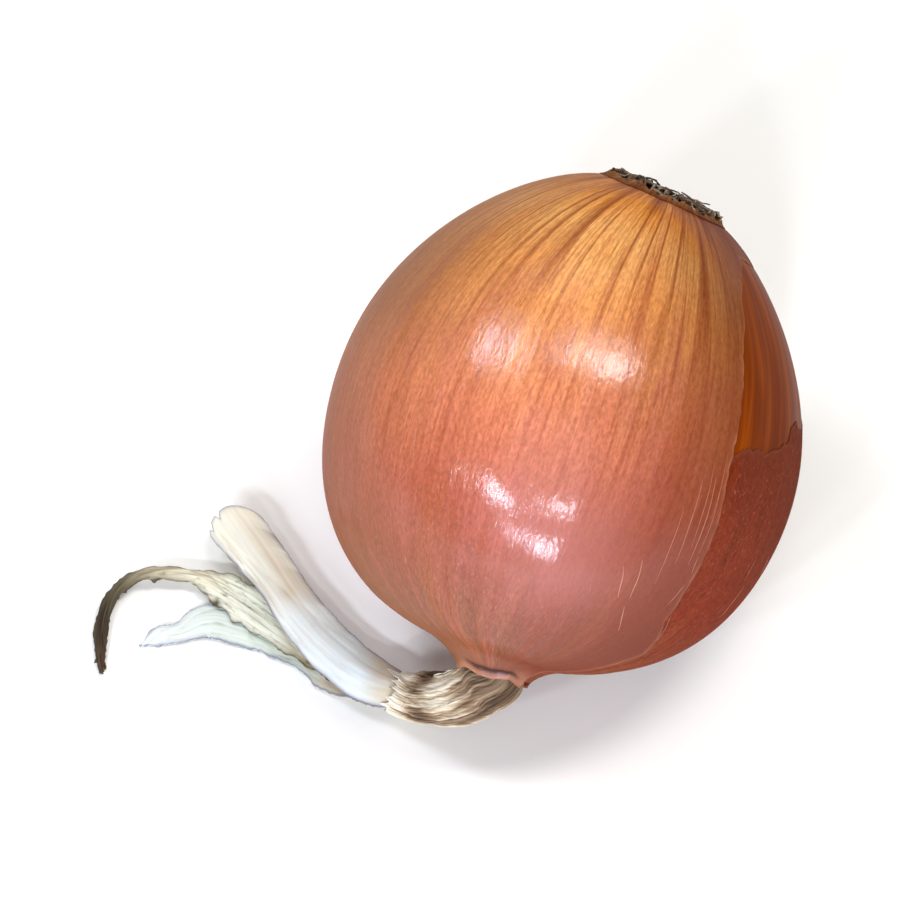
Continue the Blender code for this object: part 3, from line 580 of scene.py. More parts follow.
# Pale fibres that have come loose from the skin's surface, most of them in a bundle beside the split.
# Each row: the angle and the height, in mm, where it starts and where it ends.
FIBRES = np.array((
    (126.4, -6.0, 125.4, 8.0), (126.0, -1.0, 124.0, 14.0), (128.0, 0.0, 125.6, 14.5),
    (129.8, -2.0, 127.4, 12.0), (132.0, 1.0, 129.6, 15.0), (124.0, 12.0, 123.0, 16.5),
    (122.6, 17.0, 123.4, 21.5), (119.5, 22.5, 111.0, 29.5), (139.0, 16.0, 136.0, 22.5),
    (143.0, 18.0, 139.5, 23.0), (134.6, 6.0, 132.0, 19.0), (96.5, 15.0, 95.0, 21.0),
    (231.0, -4.0, 231.5, 9.0), (206.0, 5.0, 204.0, 13.5), (204.0, 13.5, 207.0, 16.5),
    (88.0, 9.0, 86.0, 12.5), (100.0, 10.0, 99.0, 14.0), (136.0, 24.0, 131.0, 28.0),
    (150.0, 20.0, 148.0, 24.0)))
FIBRE_SIDES, FIBRE_STEPS, FIBRE_RADIUS, FIBRE_WAVER = 5, 16, 0.065 * MM, np.radians(0.12)
FIBRE_TAPER, FIBRE_FLATNESS = 0.7, 0.6
step = np.linspace(0.0, 1.0, FIBRE_STEPS)[None, :]
fibre_angle = np.radians(FIBRES[:, :1] + (FIBRES[:, 2:3] - FIBRES[:, :1]) * step)
fibre_angle += FIBRE_WAVER * np.sin(7 * step + np.arange(len(FIBRES))[:, None])
fibre_along = along_at((FIBRES[:, 1:2] + (FIBRES[:, 3:] - FIBRES[:, 1:2]) * step) * MM)
fibre_lift = OUTER_LIFT + FILM
middles = on_bulb(fibre_angle, fibre_along, fibre_lift)
outward = unit(on_bulb(fibre_angle, fibre_along, fibre_lift + 1 * MM) - middles)
sideways = unit(np.cross(np.gradient(middles, axis=1), outward))
fibre_radius = FIBRE_RADIUS * (1 - FIBRE_TAPER * abs(2 * step - 1) ** 2)
rings = tube_rings(middles, outward * FIBRE_FLATNESS, sideways, FIBRE_SIDES, fibre_radius)
fibre_finish = dry_fibre_finish("loose_skin_fibre", ("#8C4A36", "#A86C52", "#C08C74"), 0.6)
many_tubes("raised_skin_fibres", "onion_skin", fibre_finish, rings, random.uniform(0.2, 0.9, len(FIBRES)))


# The root crown: a low corky disc, the onion's stem, with a mat of short dried rootlets that grew
# out of it and have curled back over each other. The rootlets are dull, grey-tan and brittle.
PLATE_THICKNESS, PLATE_DOME, PLATE_CLEARANCE, PLATE_ROUNDING = 1.9 * MM, 0.9 * MM, 0.3 * MM, 0.4 * MM
PLATE_SIDES, PLATE_ROWS, PLATE_RELIEF = 96, 40, 0.16 * MM
ROOTLETS, ROOTLET_SIDES, ROOTLET_STEPS = 420, 5, 10
MAT_HEIGHT, MAT_OVERHANG, MAT_GROUND = 1.5 * MM, 0.9 * MM, 0.5 * MM
ROOTED_AT, INSIDE_RIM = 0.5 * MM, 0.2 * MM
ROOTLET_RADIUS, ROOTLET_TIP_RADIUS, ROOTLET_LENGTH = 0.22 * MM, 0.11 * MM, (2.4 * MM, 5.5 * MM)
ROOTLET_LEAN, ROOTLET_BEND, ROOTLET_ASIDE, ROOTLET_TWIST = (0.5, 1.1), (0.7, 1.6), (-1.9, 1.9), (-2.6, 2.6)
GOLDEN_ANGLE = np.pi * (3.0 - np.sqrt(5.0))
plate_inner = root_floor - PLATE_CLEARANCE
plate_outer = plate_inner - PLATE_THICKNESS
plate_rim = ROOT_HOLLOW_RADIUS - PLATE_CLEARANCE
plate_crest = plate_outer - PLATE_DOME
plate_edge = (plate_outer + PLATE_ROUNDING, plate_rim)
plate_dome = bezier(plate_edge, (plate_outer, plate_rim), (plate_crest, plate_rim / 2),
                    (plate_crest, plate_rim / 12), PLATE_ROWS)
plate_rows = np.vstack(((plate_inner, plate_rim / 2), (plate_inner, plate_rim), plate_dome))
side = np.arange(PLATE_SIDES) * 2 * np.pi / PLATE_SIDES
plate_height, plate_radius = plate_rows[:, :1], plate_rows[:, 1:]
waves = np.cos(9 * side + plate_radius / MM) * np.sin(plate_radius / MM)
plate_height = plate_height + PLATE_RELIEF * waves
plate_radius = plate_radius * (1 - 0.02 * (1 + np.cos(5 * side)))
grid = np.stack((plate_radius * np.cos(side), plate_radius * np.sin(side), plate_height), axis=-1)[::-1]
points, faces = closed_tube(lying(grid))
grain = np.vstack((grid.reshape(-1, 3), grid[0, 0], grid[-1, 0]))
plate_finish = dry_fibre_finish("cork_of_root_plate", ("#160D08", "#34210F", "#5E4230"), 0.9)
plate = add_piece("root_plate", "dry_roots", plate_finish, points, faces, grain=grain,
                  tone=np.full(len(points), 0.35))
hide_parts("root_crown")

# The rootlets, set out in a sunflower's spiral. Each leans out and aside more and more along its length,
# is drawn in at the plate's rim, and lies down in the mat.
number = np.arange(ROOTLETS)
from_middle = (plate_rim - INSIDE_RIM) * np.sqrt((number + 0.5) / ROOTLETS)
around = number * GOLDEN_ANGLE + random.uniform(-0.2, 0.2, ROOTLETS)
outward = np.stack((np.cos(around), np.sin(around), 0 * around), -1)
sideways = np.stack((-np.sin(around), np.cos(around), 0 * around), -1)
away = np.array((0.0, 0.0, -1.0))
length = random.uniform(*ROOTLET_LENGTH, ROOTLETS)
step = np.linspace(0.0, 1.0, ROOTLET_STEPS)
one_each = (ROOTLETS, 1)
lean = random.uniform(*ROOTLET_LEAN, one_each) + random.uniform(*ROOTLET_BEND, one_each) * step ** 0.7
aside = random.uniform(*ROOTLET_ASIDE, one_each) + random.uniform(*ROOTLET_TWIST, one_each) * step
course = (outward[:, None] * (np.sin(lean) * np.cos(aside))[..., None]
          + sideways[:, None] * (np.sin(lean) * np.sin(aside))[..., None] + away * np.cos(lean)[..., None])
foot = outward * from_middle[:, None] + away * -(plate_outer + ROOTED_AT)
middles = foot[:, None] + np.cumsum(course, axis=1) * (length / ROOTLET_STEPS)[:, None, None]
from_axis = np.linalg.norm(middles[..., :2], axis=-1)
beyond = np.clip(from_axis - plate_rim, 0.0, None)
drawn_in = (from_axis - beyond + MAT_OVERHANG * np.tanh(beyond / MAT_OVERHANG)) / from_axis
middles[..., :2] *= drawn_in[..., None]
skin_height = np.interp(from_axis * drawn_in, outline[1:400, 1], outline[1:400, 0])
ground = np.where(from_axis > plate_rim, skin_height, plate_outer - MAT_GROUND) - ROOTLET_RADIUS
middles[..., 2] = ground - MAT_HEIGHT * np.tanh(np.clip(ground - middles[..., 2], 0.0, None) / MAT_HEIGHT)
course = unit(np.gradient(middles, axis=1))
first = unit(np.cross(course, outward[:, None] + 0.3 * away))
rootlet_radius = ROOTLET_RADIUS + (ROOTLET_TIP_RADIUS - ROOTLET_RADIUS) * step
rings = tube_rings(middles, first, np.cross(course, first), ROOTLET_SIDES, rootlet_radius)
rootlet_finish = dry_fibre_finish("dried_rootlet_fibre", ("#2E2118", "#6E5A48", "#AE9C86"), 0.85)
many_tubes("dried_rootlets", "dry_roots", rootlet_finish, lying(rings), random.uniform(0.0, 1.0, ROOTLETS))

# Round the crown the outer skin's own edge has dried into short frayed tongues that stand off the bulb
FRINGE_COLUMNS, FRINGE_ROWS, FRINGE_BACK, FRINGE_TONGUE = 360, 9, 0.9 * MM, (0.5 * MM, 2.1 * MM)
FRINGE_FILM, FRINGE_LIFT, FRINGE_CURL = 0.06 * MM, 0.05 * MM, 0.9 * MM
column_angle = np.arange(FRINGE_COLUMNS) * 2 * np.pi / FRINGE_COLUMNS
reach = FRINGE_TONGUE[0] + FRINGE_TONGUE[1] * abs(ragged(column_angle, spacing=0.045)) ** 1.6
share = np.linspace(0.0, 1.0, FRINGE_ROWS)[:, None]
along = FRINGE_BACK - share * (FRINGE_BACK + reach)
standing_off = share ** 2 * (0.5 + 0.5 * ragged(column_angle, spacing=0.06)) * FRINGE_CURL
lift = OUTER_LIFT + FILM + FRINGE_LIFT + standing_off
top, bottom = on_bulb(column_angle, along, lift + FRINGE_FILM), on_bulb(column_angle, along, lift)
tone = 0.35 + 0.4 * share + 0.2 * ragged(column_angle, spacing=0.03)
fringe_finish = dry_fibre_finish("frayed_skin_edge", ("#3E1E0A", "#74401A", "#9A6C40"), 0.75)
sheet_piece("root_skin_fringe", "dry_roots", fringe_finish, top, bottom, wrap=True,
            grain=grain_on_bulb(column_angle, along), tone=tone)


# The neck: the dried bases of the leaves, twisted together and bent over to the left. Each is a
# stringy sheath, straw coloured along its torn edges and darker brown in its folds, partly its own colour
# and partly painted shade.
NECK_FOOT_GAP, NECK_ASIDE = 0.6 * MM, 1.3 * MM
NECK_ROUTE = np.array([
    (-10.5, -30.5, 18.4), (-12.4, -31.3, 16.3), (-14.9, -31.2, 13.2), (-17.4, -30.1, 10.1),
    (-19.9, -28.6, 7.6), (-22.4, -27.3, 5.8), (-24.4, -26.4, 4.9), (-25.8, -25.5, 4.3)]) * MM
ROUTE_STEPS, NECK_SIDES, NECK_RINGS = 1000, 400, 180
# Each kind of fold: how many go round, how far they drift, and their share of the depth
NECK_FOLDS = ((5, 1.3, 0.22), (9, 2.1, 0.20), (17, -1.6, 0.20), (31, 0.9, 0.18), (57, 0.5, 0.13),
              (97, 0.3, 0.07))
NECK_FOLD_DEPTH, NECK_TWIST, NECK_TURNING = 0.85 * MM, 1.05, 2.5
NECK_GRAIN_RADIUS, NECK_GRAINS_APART = 4 * MM, 30 * MM
# Places on the neck: the angle, the share of its length, and half the size both ways
BEND_HOLLOW, BEND_HOLLOW_DEPTH = (1.4, 0.72, 0.30, 0.06), 0.9 * MM
BLUSHED_SIDE, BLUSH = (2.5, 0.24, 0.6, 0.14), 0.55
# Spots on the neck's tone, each a strength and a place: the dark ones are painted shade under the lip, in a
# hollow on its top and in the bend, and the light one is the cream swirl of its fibres.
NECK_SHADES = ((0.6, (1.9, 0.50, 0.6, 0.18)), (-0.50, (1.2, 0.16, 0.6, 0.08)),
               (-0.4, (0.6, 0.62, 0.35, 0.16)), (-0.45, (2.6, 0.20, 0.8, 0.16)),
               (-0.7, (3.0, 0.72, 0.32, 0.12)), (-0.8, (1.15, 0.72, 0.42, 0.09)))


def smooth_rows(rows, count):
    """Rows evenly spaced along the smooth curve through the given rows, measured on x, y and z."""
    steps = np.linalg.norm(np.diff(rows[:, :3], axis=0), axis=1)
    knots = np.concatenate(([0.0], np.cumsum(steps)))
    slopes = np.gradient(rows, knots, axis=0)
    where = np.linspace(0.0, knots[-1], 20 * count)
    i = np.clip(np.searchsorted(knots, where, side="right") - 1, 0, len(rows) - 2)
    span = (knots[i + 1] - knots[i])[:, None]
    s = (where - knots[i])[:, None] / span
    curve = ((2 * s ** 3 - 3 * s ** 2 + 1) * rows[i] + (s ** 3 - 2 * s ** 2 + s) * span * slopes[i]
             + (3 * s ** 2 - 2 * s ** 3) * rows[i + 1] + (s ** 3 - s ** 2) * span * slopes[i + 1])
    length = np.concatenate(([0.0], np.cumsum(np.linalg.norm(np.diff(curve[:, :3], axis=0), axis=1))))
    even = np.linspace(0.0, length[-1], count)
    return np.column_stack([np.interp(even, length, column) for column in curve.T]), length[-1]


foot_height = LIP[0] - NECK_HOLLOW_DEPTH + NECK_FOOT_GAP
neck_foot = np.array((0.0, NECK_ASIDE, foot_height)) @ BULB_TURN.T + BULB_MIDDLE
neck_route, NECK_LENGTH = smooth_rows(np.vstack((neck_foot, NECK_ROUTE)), ROUTE_STEPS)
neck_tangent = unit(np.gradient(neck_route, axis=0))
neck_across = unit(np.cross(neck_tangent, (0.0, 0.0, 1.0)))
neck_up = np.cross(neck_across, neck_tangent)
NECK_STATIONS = (0.0, 0.10, 0.15, 0.25, 0.45, 0.65, 0.85, 1.0, 1.15)
NECK_ACROSS = np.array((3.6, 4.7, 5.1, 4.8, 4.5, 4.5, 4.3, 4.0, 3.9)) * MM
NECK_THICK = np.array((3.6, 4.6, 4.8, 4.4, 4.0, 3.8, 3.3, 2.7, 2.0)) * MM


def rows_at(share, rows):
    """The rows' values at a share of the way through them, on straight lines between evenly spaced rows."""
    steps = np.linspace(0.0, 1.0, len(rows))
    return np.stack([np.interp(share, steps, column) for column in rows.T], -1)


def on_neck(angle, share, lift):
    """Places on the neck: at an angle about its route, a share of its length from the foot, and a lift."""
    angle, share = np.broadcast_arrays(angle, share)
    within = np.clip(share, 0.0, 1.0)
    middle, ahead, sideward, upward = (rows_at(within, rows) for rows in
                                       (neck_route, neck_tangent, neck_across, neck_up))
    middle = middle + ahead * ((share - within) * NECK_LENGTH)[..., None]
    wide = np.interp(share, NECK_STATIONS, NECK_ACROSS) + lift
    thick = np.interp(share, NECK_STATIONS, NECK_THICK) + lift
    return middle + sideward * (wide * np.cos(angle))[..., None] + upward * (thick * np.sin(angle))[..., None]


def grain_on_neck(angle, share, number):
    """For patterns: fibres run along the neck, and each sheath has a pattern of its own."""
    angle, share = np.broadcast_arrays(angle, share)
    across = NECK_GRAIN_RADIUS * np.cos(angle) + NECK_GRAINS_APART * number
    return np.stack((across, NECK_GRAIN_RADIUS * np.sin(angle), share * NECK_LENGTH), -1)


def spot(angle, share, place):
    """A soft spot on the neck: 1 at its middle, and nothing beyond about twice its size."""
    at_angle, at_share, wide, long = place
    turned = (angle - at_angle + np.pi) % (2 * np.pi) - np.pi
    return bell(turned, wide) * bell(share - at_share, long)


def neck_folds(angle, share):
    """From 0 in a crease to about 1 on a ridge: sharp creases and round ridges that turn about the neck."""
    turned = angle - NECK_TWIST * np.sin(NECK_TURNING * share)
    rise = 0.0
    for count, drift, weight in NECK_FOLDS:
        rise = rise + weight * abs(np.sin(count * turned / 2 + drift * np.sin(4 * share + count))) ** 0.65
    return rise


def neck_tone(angle, share):
    """From 0 to 1: dark in the creases, partly painted shade, darkened under the lip and in the bend as
    painted shade, and cream on the ridges and at the mouth, with the spots laid over that."""
    tone = 0.95 * neck_folds(angle, share) ** 1.5 - 0.06 + 0.55 * np.clip((share - 0.80) / 0.20, 0.0, 1.0)
    for strength, place in NECK_SHADES:
        tone = tone + strength * spot(angle, share, place)
    return np.clip(tone, 0.0, 1.0)


def neck_lift(angle, share):
    """How far the surface stands off the neck's plain tube: its folds, which flatten at both ends, and the
    hollow in its bend."""
    free = np.clip((share - 0.04) / 0.12, 0.0, 1.0) * np.clip((1.12 - share) / 0.30, 0.25, 1.0)
    folded = NECK_FOLD_DEPTH * (neck_folds(angle, share) - 0.75) * free
    return folded - BEND_HOLLOW_DEPTH * spot(angle, share, BEND_HOLLOW)


NECK_COLOURS = ("#3C2A1C", "#66503A", "#937B60", "#C2B090", "#EAE2CC")
neck_finish = dry_fibre_finish("dried_leaf_sheath", NECK_COLOURS, 0.72)
angle = (np.arange(NECK_SIDES) * 2 * np.pi / NECK_SIDES)[None, :]
share = np.linspace(0.0, 1.0, NECK_RINGS)[:, None] * (1.0 + 0.05 * ragged(angle[0], spacing=0.09))
folded = on_neck(angle, share, neck_lift(angle, share))
# The mouth turns in: each of its rings is a share of the length back from the end, and a depth inside
MOUTH_BACK, MOUTH_DEPTH = np.array(((0.01,), (0.1,), (0.2,))), np.array(((0.5,), (0.9,), (1.6,))) * MM
MOUTH_TONE = 0.45
mouth_share = share[-1] - MOUTH_BACK
points, faces = closed_tube(np.concatenate((folded, on_neck(angle, mouth_share, -MOUTH_DEPTH))))
grain = np.concatenate((grain_on_neck(angle, share, 0), grain_on_neck(angle, mouth_share, 0)))
grain = np.vstack((grain.reshape(-1, 3), grain[0, 0], grain[-1, 0]))
in_mouth = np.ones(len(points) - share.size)
tone = np.concatenate((neck_tone(angle, share).ravel(), MOUTH_TONE * in_mouth))
blush = np.concatenate((BLUSH * spot(angle, share, BLUSHED_SIDE).ravel(), 0 * in_mouth))
neck = add_piece("twisted_neck", "dry_neck", neck_finish, points, faces, grain=grain, tone=tone, blush=blush)
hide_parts("neck")

# The loose sheaths on it: strips that narrow to a torn end, with one edge standing up. Each row: the
# angle of its middle, half its width, the shares of the neck's length where it starts and ends, its tone.
SHEATHS = ((2.75, 0.30, 0.11, 0.66, 0.42), (2.15, 0.26, 0.12, 0.84, 0.58), (1.55, 0.30, 0.12, 0.94, 0.50),
           (0.95, 0.34, 0.14, 1.12, 0.60), (0.40, 0.28, 0.13, 0.78, 0.40), (-0.3, 0.30, 0.12, 1.08, 0.50),
           (-1.1, 0.45, 0.12, 0.90, 0.45), (-2.0, 0.45, 0.12, 1.04, 0.52), (3.6, 0.34, 0.12, 0.90, 0.55))
SHEATH_ROWS, SHEATH_COLUMNS, SHEATH_FILM, SHEATH_DEEPEST = 110, 17, 0.12 * MM, 0.25 * MM
SHEATH_TURN, SHEATH_RAGS, SHEATH_WAVER, SHEATH_NARROWING = 0.36, 0.05, 0.05, 0.85
SHEATH_LIFT, SHEATH_EDGE_LIFT = 0.12 * MM, 0.35 * MM
u = np.linspace(-1.0, 1.0, SHEATH_COLUMNS)
v = np.linspace(0.0, 1.0, SHEATH_ROWS)[:, None]
for number, (middle_angle, half_width, first_share, last_share, own_tone) in enumerate(SHEATHS):
    share = first_share + (last_share + SHEATH_RAGS * ragged(u, spacing=0.2) - first_share) * v
    narrowing = 1 - SHEATH_NARROWING * np.clip((v - 0.5) / 0.5, 0.0, 1.0) ** 2
    waver = SHEATH_WAVER * ragged(v[:, 0], spacing=0.10)[:, None]
    turned = NECK_TWIST * (np.sin(NECK_TURNING * share) - SHEATH_TURN)
    angle = middle_angle + turned + half_width * u * narrowing + waver * abs(u)
    edge_lift = SHEATH_EDGE_LIFT * (1 + ragged(v[:, 0], spacing=0.2)[:, None]) * np.clip(u, 0.0, 1.0) ** 3
    laid = np.clip(v / 0.1, 0.0, 1.0) * np.clip((1.0 - v) / 0.3, 0.0, 1.0)
    lift = np.maximum(neck_lift(angle, share), -SHEATH_DEEPEST) + (SHEATH_LIFT + edge_lift) * laid
    # The sheath takes on the neck's tone, with its painted shade in the creases, under the lip and in the
    # bend.
    tone = own_tone + 0.8 * (neck_tone(angle, share) - 0.5) + 0.3 * u ** 8
    tone = np.clip(tone + 0.4 * np.clip((share - 0.85) / 0.2, 0.0, 1.0), 0.0, 1.0)
    top, bottom = on_neck(angle, share, lift + SHEATH_FILM), on_neck(angle, share, lift)
    sheet_piece("sheath_%02d" % number, "dry_neck", neck_finish, top, bottom,
                grain=grain_on_neck(angle, share, number + 1), tone=tone)


# The leaves: three dried blades that come out of the neck and lie along the table. They are papery,
# ribbed from end to end and thin enough to glow a little; the grey along their edges is partly the torn
# edges' own grey and partly painted shade. Each row of a blade, in mm: its crest's x, y and z, its width to
# the left and right, its camber, tilt and thickness.
BROAD_LEAF = np.array([
    (-23.5, -26.8, 6.9, 3.3, 3.3, 2.0, 0.0, 0.3), (-26.0, -25.4, 6.3, 3.5, 3.5, 2.0, 0.0, 0.3),
    (-30.6, -22.8, 5.2, 4.4, 4.3, 1.2, 0.1, 0.3), (-37.0, -17.0, 4.5, 4.3, 4.8, 0.8, 0.3, 0.3),
    (-42.6, -9.8, 4.4, 3.7, 4.6, 0.6, 0.5, 0.3), (-45.2, -5.6, 4.3, 3.4, 4.5, 0.5, 0.5, 0.3),
    (-47.8, -1.2, 4.3, 3.8, 4.6, 0.5, 0.5, 0.3), (-51.8, 5.2, 4.6, 4.8, 4.6, 0.5, 0.5, 0.3),
    (-54.3, 9.2, 5.0, 4.7, 4.0, 0.4, 0.4, 0.3)]) * MM
WITHERED_LEAF = np.array([
    (-23.5, -26.8, 4.6, 2.4, 2.4, 0.3, 0.0, 0.3), (-26.0, -25.4, 3.8, 2.4, 2.4, 0.3, 0.0, 0.3),
    (-33.4, -21.2, 3.0, 2.7, 2.6, 0.4, 0.0, 0.3), (-39.4, -16.7, 2.7, 3.0, 3.0, 0.4, 0.0, 0.3),
    (-45.4, -11.9, 2.6, 3.4, 3.2, 0.4, 0.0, 0.3), (-50.2, -7.8, 2.6, 3.6, 3.5, 0.4, 0.0, 0.3),
    (-54.1, -5.0, 2.7, 2.9, 3.0, 0.5, 0.0, 0.4), (-58.2, -2.8, 3.0, 1.4, 1.4, 0.7, 0.0, 0.8),
    (-62.6, -2.0, 3.5, 1.4, 1.4, 0.8, 0.1, 0.9), (-67.8, -2.3, 3.6, 1.5, 1.4, 0.8, 0.1, 0.9),
    (-71.8, -5.0, 3.1, 1.1, 1.1, 0.7, 0.1, 0.9), (-73.8, -9.4, 2.5, 1.0, 1.0, 0.6, 0.0, 0.9),
    (-74.3, -14.6, 1.8, 0.9, 0.9, 0.5, 0.0, 0.8), (-74.0, -20.0, 1.2, 0.5, 0.5, 0.2, 0.0, 0.6)]) * MM
RAGGED_LEAF = np.array([
    (-23.5, -26.8, 3.5, 1.7, 1.7, 0.1, 0.0, 0.3), (-26.0, -25.4, 2.6, 1.8, 1.8, 0.1, 0.0, 0.3),
    (-29.2, -24.1, 1.7, 2.4, 2.2, 0.1, 0.0, 0.3), (-33.4, -21.9, 1.1, 2.8, 2.6, 0.1, 0.0, 0.3),
    (-37.6, -19.8, 1.0, 3.2, 2.8, 0.1, 0.0, 0.3), (-39.8, -18.6, 1.0, 2.0, 2.9, 0.1, 0.0, 0.3),
    (-45.4, -14.7, 1.0, 2.2, 3.0, 0.1, 0.0, 0.3), (-51.4, -11.4, 1.0, 3.1, 3.1, 0.1, 0.0, 0.3),
    (-57.4, -10.1, 1.0, 3.3, 3.3, 0.1, 0.0, 0.3), (-61.6, -12.2, 1.0, 1.9, 1.9, 0.1, 0.0, 0.3),
    (-64.7, -12.7, 1.0, 1.7, 1.6, 0.1, 0.0, 0.3), (-68.0, -14.7, 0.9, 0.3, 0.3, 0.0, 0.0, 0.3)]) * MM
# Stains and painted shadows on each leaf: the broad leaf's last row is painted shadow where it meets the
# neck, the withered leaf's first three rows are painted shadow beside the other leaves, and the ragged leaf's
# first row is painted shadow under the broad leaf's edge; the rest are stains. Each row: its place across and
# along the blade, its half sizes and its strength.
BROAD_STAINS = (
    (0.10, 0.61, 0.30, 0.035, 0.55), (0.30, 0.76, 0.16, 0.10, 0.30), (0.15, 0.14, 0.30, 0.04, 0.40),
    (-0.55, 0.10, 0.25, 0.05, 0.50), (0.80, 0.17, 0.22, 0.060, 0.70))
WITHERED_STAINS = (
    (-0.92, 0.52, 0.22, 0.010, 1.0), (0.72, 0.405, 0.16, 0.009, 1.0), (0.95, 0.46, 0.16, 0.050, 0.8),
    (-0.15, 0.45, 0.05, 0.045, 0.5), (0.25, 0.37, 0.04, 0.050, 0.5), (0.45, 0.50, 0.05, 0.025, 0.5),
    (-0.45, 0.40, 0.04, 0.040, 0.4), (0.0, 0.20, 0.25, 0.050, 0.5))
RAGGED_STAINS = (
    (0.10, 0.28, 0.16, 0.050, 0.8), (-0.10, 0.72, 0.08, 0.020, 0.5), (0.55, 0.62, 0.06, 0.030, 0.5))
LEAF_STEPS, RIB_COUNTS, CREASES, CREASE_SPACING = 600, (5, 8, 13, 19, 27), 5, (1.6 * MM, 4.0 * MM)
STRAND_WIDTH, STRAND_FROM, STRAND_COIL, STRAND_TURNS = (1.4 * MM, 1.9 * MM), 0.3, 0.13 * MM, 12
GREY_EDGE_WIDTH = 0.30 * MM


def leaf(name, slot, finish, table, stains, rows, columns, cut_back, number, rib_depth, crease_depth, wave,
         roughness):
    """A blade over a table of rows: an arch across its crest line with uneven ribs along it, a torn edge, and
    waves that grow towards the edge. Where it is slim enough to be a strand, it is coiled too."""
    dense, length = smooth_rows(table, LEAF_STEPS)
    v = np.linspace(-1.0, 1.0, columns)
    u = np.linspace(0.0, 1.0, rows)
    place = u[:, None] * (1.0 - cut_back(v) / length)
    crest_and_sizes, ahead = rows_at(place, dense), rows_at(place, unit(np.gradient(dense[:, :3], axis=0)))
    crest = crest_and_sizes[..., :3]
    left, right, camber, tilt, thickness = np.moveaxis(crest_and_sizes[..., 3:], -1, 0)
    side = unit(np.cross(ahead, (0.0, 0.0, 1.0)))
    upward = np.cross(side, ahead)
    slim = np.clip((STRAND_WIDTH[1] - right) / (STRAND_WIDTH[1] - STRAND_WIDTH[0]), 0.0, 1.0)
    slim = slim * (place > STRAND_FROM)
    tears = (ragged(u, spacing=0.03) + 0.6 * ragged(u, spacing=0.008))[:, None] * abs(v) ** 3
    width = np.where(v < 0, left, right) * (1 + roughness * (1 + slim) * tears)
    rise = -camber * v ** 2 - tilt * v
    for count in RIB_COUNTS:
        bend = random.uniform(0.0, 2 * np.pi) + random.uniform(0.4, 1.2) * ragged(u, spacing=0.3)[:, None]
        rise = rise + rib_depth * np.cos(count * v * (1 + 0.15 * v) + bend) * (1 - v ** 8)
    for direction in random.uniform(-0.9, 0.9, CREASES):
        across, along = np.cos(direction) * width * v, np.sin(direction) * place * length
        run = (across + along) / random.uniform(*CREASE_SPACING)
        rise = rise - crease_depth * (1 - abs(np.sin(run + random.uniform(0.0, np.pi)))) ** 3
    rise = rise + slim * STRAND_COIL * np.cos(7 * v + STRAND_TURNS * 2 * np.pi * place)
    rise = rise + wave * ragged(u, spacing=0.09)[:, None] * v * abs(v)
    rise = rise + 0.4 * wave * ragged(u, spacing=0.05)[:, None] * v ** 4
    top = crest + side * (width * v)[..., None] + upward * rise[..., None]
    normal = unit(np.cross(np.gradient(top, axis=1), np.gradient(top, axis=0)))
    bottom = top - normal * thickness[..., None]
    sunk = np.minimum(bottom[..., 2].min(axis=1), 0.0)[:, None]
    top[..., 2] -= sunk
    bottom[..., 2] -= sunk
    grain = np.stack((width * v, np.full_like(width, 40 * MM * number), place * length), -1)
    # A grey rim along the edges and the tip: partly the torn edges' own grey, partly painted shade that
    # outlines them.
    edge = np.exp(-np.minimum((1 - abs(v)) * width, (1 - u)[:, None] * length) / GREY_EDGE_WIDTH)
    # Stains, and painted shadows where the neck or another leaf lies over or beside the blade.
    stain = sum(strong * bell(v - at_v, wide) * bell(place - at_u, long)
                for at_v, at_u, wide, long, strong in stains)
    return sheet_piece(name, slot, finish, top, bottom, grain=grain, edge=edge, across=v + 0 * place,
                       along=0 * v + place, stain=stain)


def leaf_finish(name, left_stops, right_stops, colours, blotches, roughness):
    """Dried leaf blade: pale papery tissue that lets some light through, with colours from neck to tip on
    each half, the right half's partly painted shade. The colours over them are those of its streaks, its
    stains, painted shadows where other parts lie by it, and its grey edges, partly painted shade."""
    made, tree, shader = new_finish(name, {"Roughness": roughness, "Specular IOR Level": 0.12,
                                           "Subsurface Weight": 0.15, "Subsurface Scale": 0.5 * MM})
    made_of = patterns_on(tree, {"streak": (0.30 * MM, 9 * MM, 4.0), "blotch": (0.9 * MM, 3.0 * MM, 3.0)})
    along, across, edge, stain = (add(tree, "ShaderNodeAttribute", {}, attribute_name=value).outputs["Fac"]
                                  for value in ("along", "across", "edge", "stain"))
    left, right = (add(tree, "ShaderNodeValToRGB", {"Fac": along}, stops=stops).outputs["Color"]
                   for stops in (left_stops, right_stops))
    sided = add(tree, "ShaderNodeMapRange", {"Value": across, "From Min": 0.0, "From Max": 0.2})
    streaks = add(tree, "ShaderNodeMapRange", {"Value": made_of["streak"], "From Min": 0.50, "From Max": 0.74,
                                               "To Max": 0.5})
    blotched = add(tree, "ShaderNodeMapRange", {"Value": made_of["blotch"], "From Min": 0.56,
                                                "From Max": 0.70, "To Max": blotches})
    # Blotches, stains and painted shadows darken the blade together.
    stained = add(tree, "ShaderNodeMath", {0: blotched.outputs["Result"], 1: stain}, operation="ADD",
                  use_clamp=True)
    # The grey rim: partly the edges' own grey, partly painted shade.
    greyed = add(tree, "ShaderNodeMath", {0: edge, 1: 0.95}, operation="MULTIPLY")
    mixed = left
    for factor, over in zip((sided, streaks, stained, greyed), (right, *map(linear, colours))):
        mixed = add(tree, "ShaderNodeMix", {FACTOR: factor.outputs[0], FIRST: mixed, SECOND: over},
                    data_type="RGBA").outputs[MIXED]
    bump = add(tree, "ShaderNodeBump", {"Height": made_of["streak"], "Strength": 0.4, "Distance": 0.05 * MM})
    tree.links.new(mixed, shader.inputs["Base Color"])
    tree.links.new(bump.outputs["Normal"], shader.inputs["Normal"])
    return made


POINT_LENGTH = 2.6 * MM
BROAD_END_ROUND, BROAD_END_SLANT = 4.3 * MM, 0.6 * MM
NICKS, NICK_DEPTH, NICK_HALF_WIDTH = (-0.38, -0.80), 1.2 * MM, 0.10


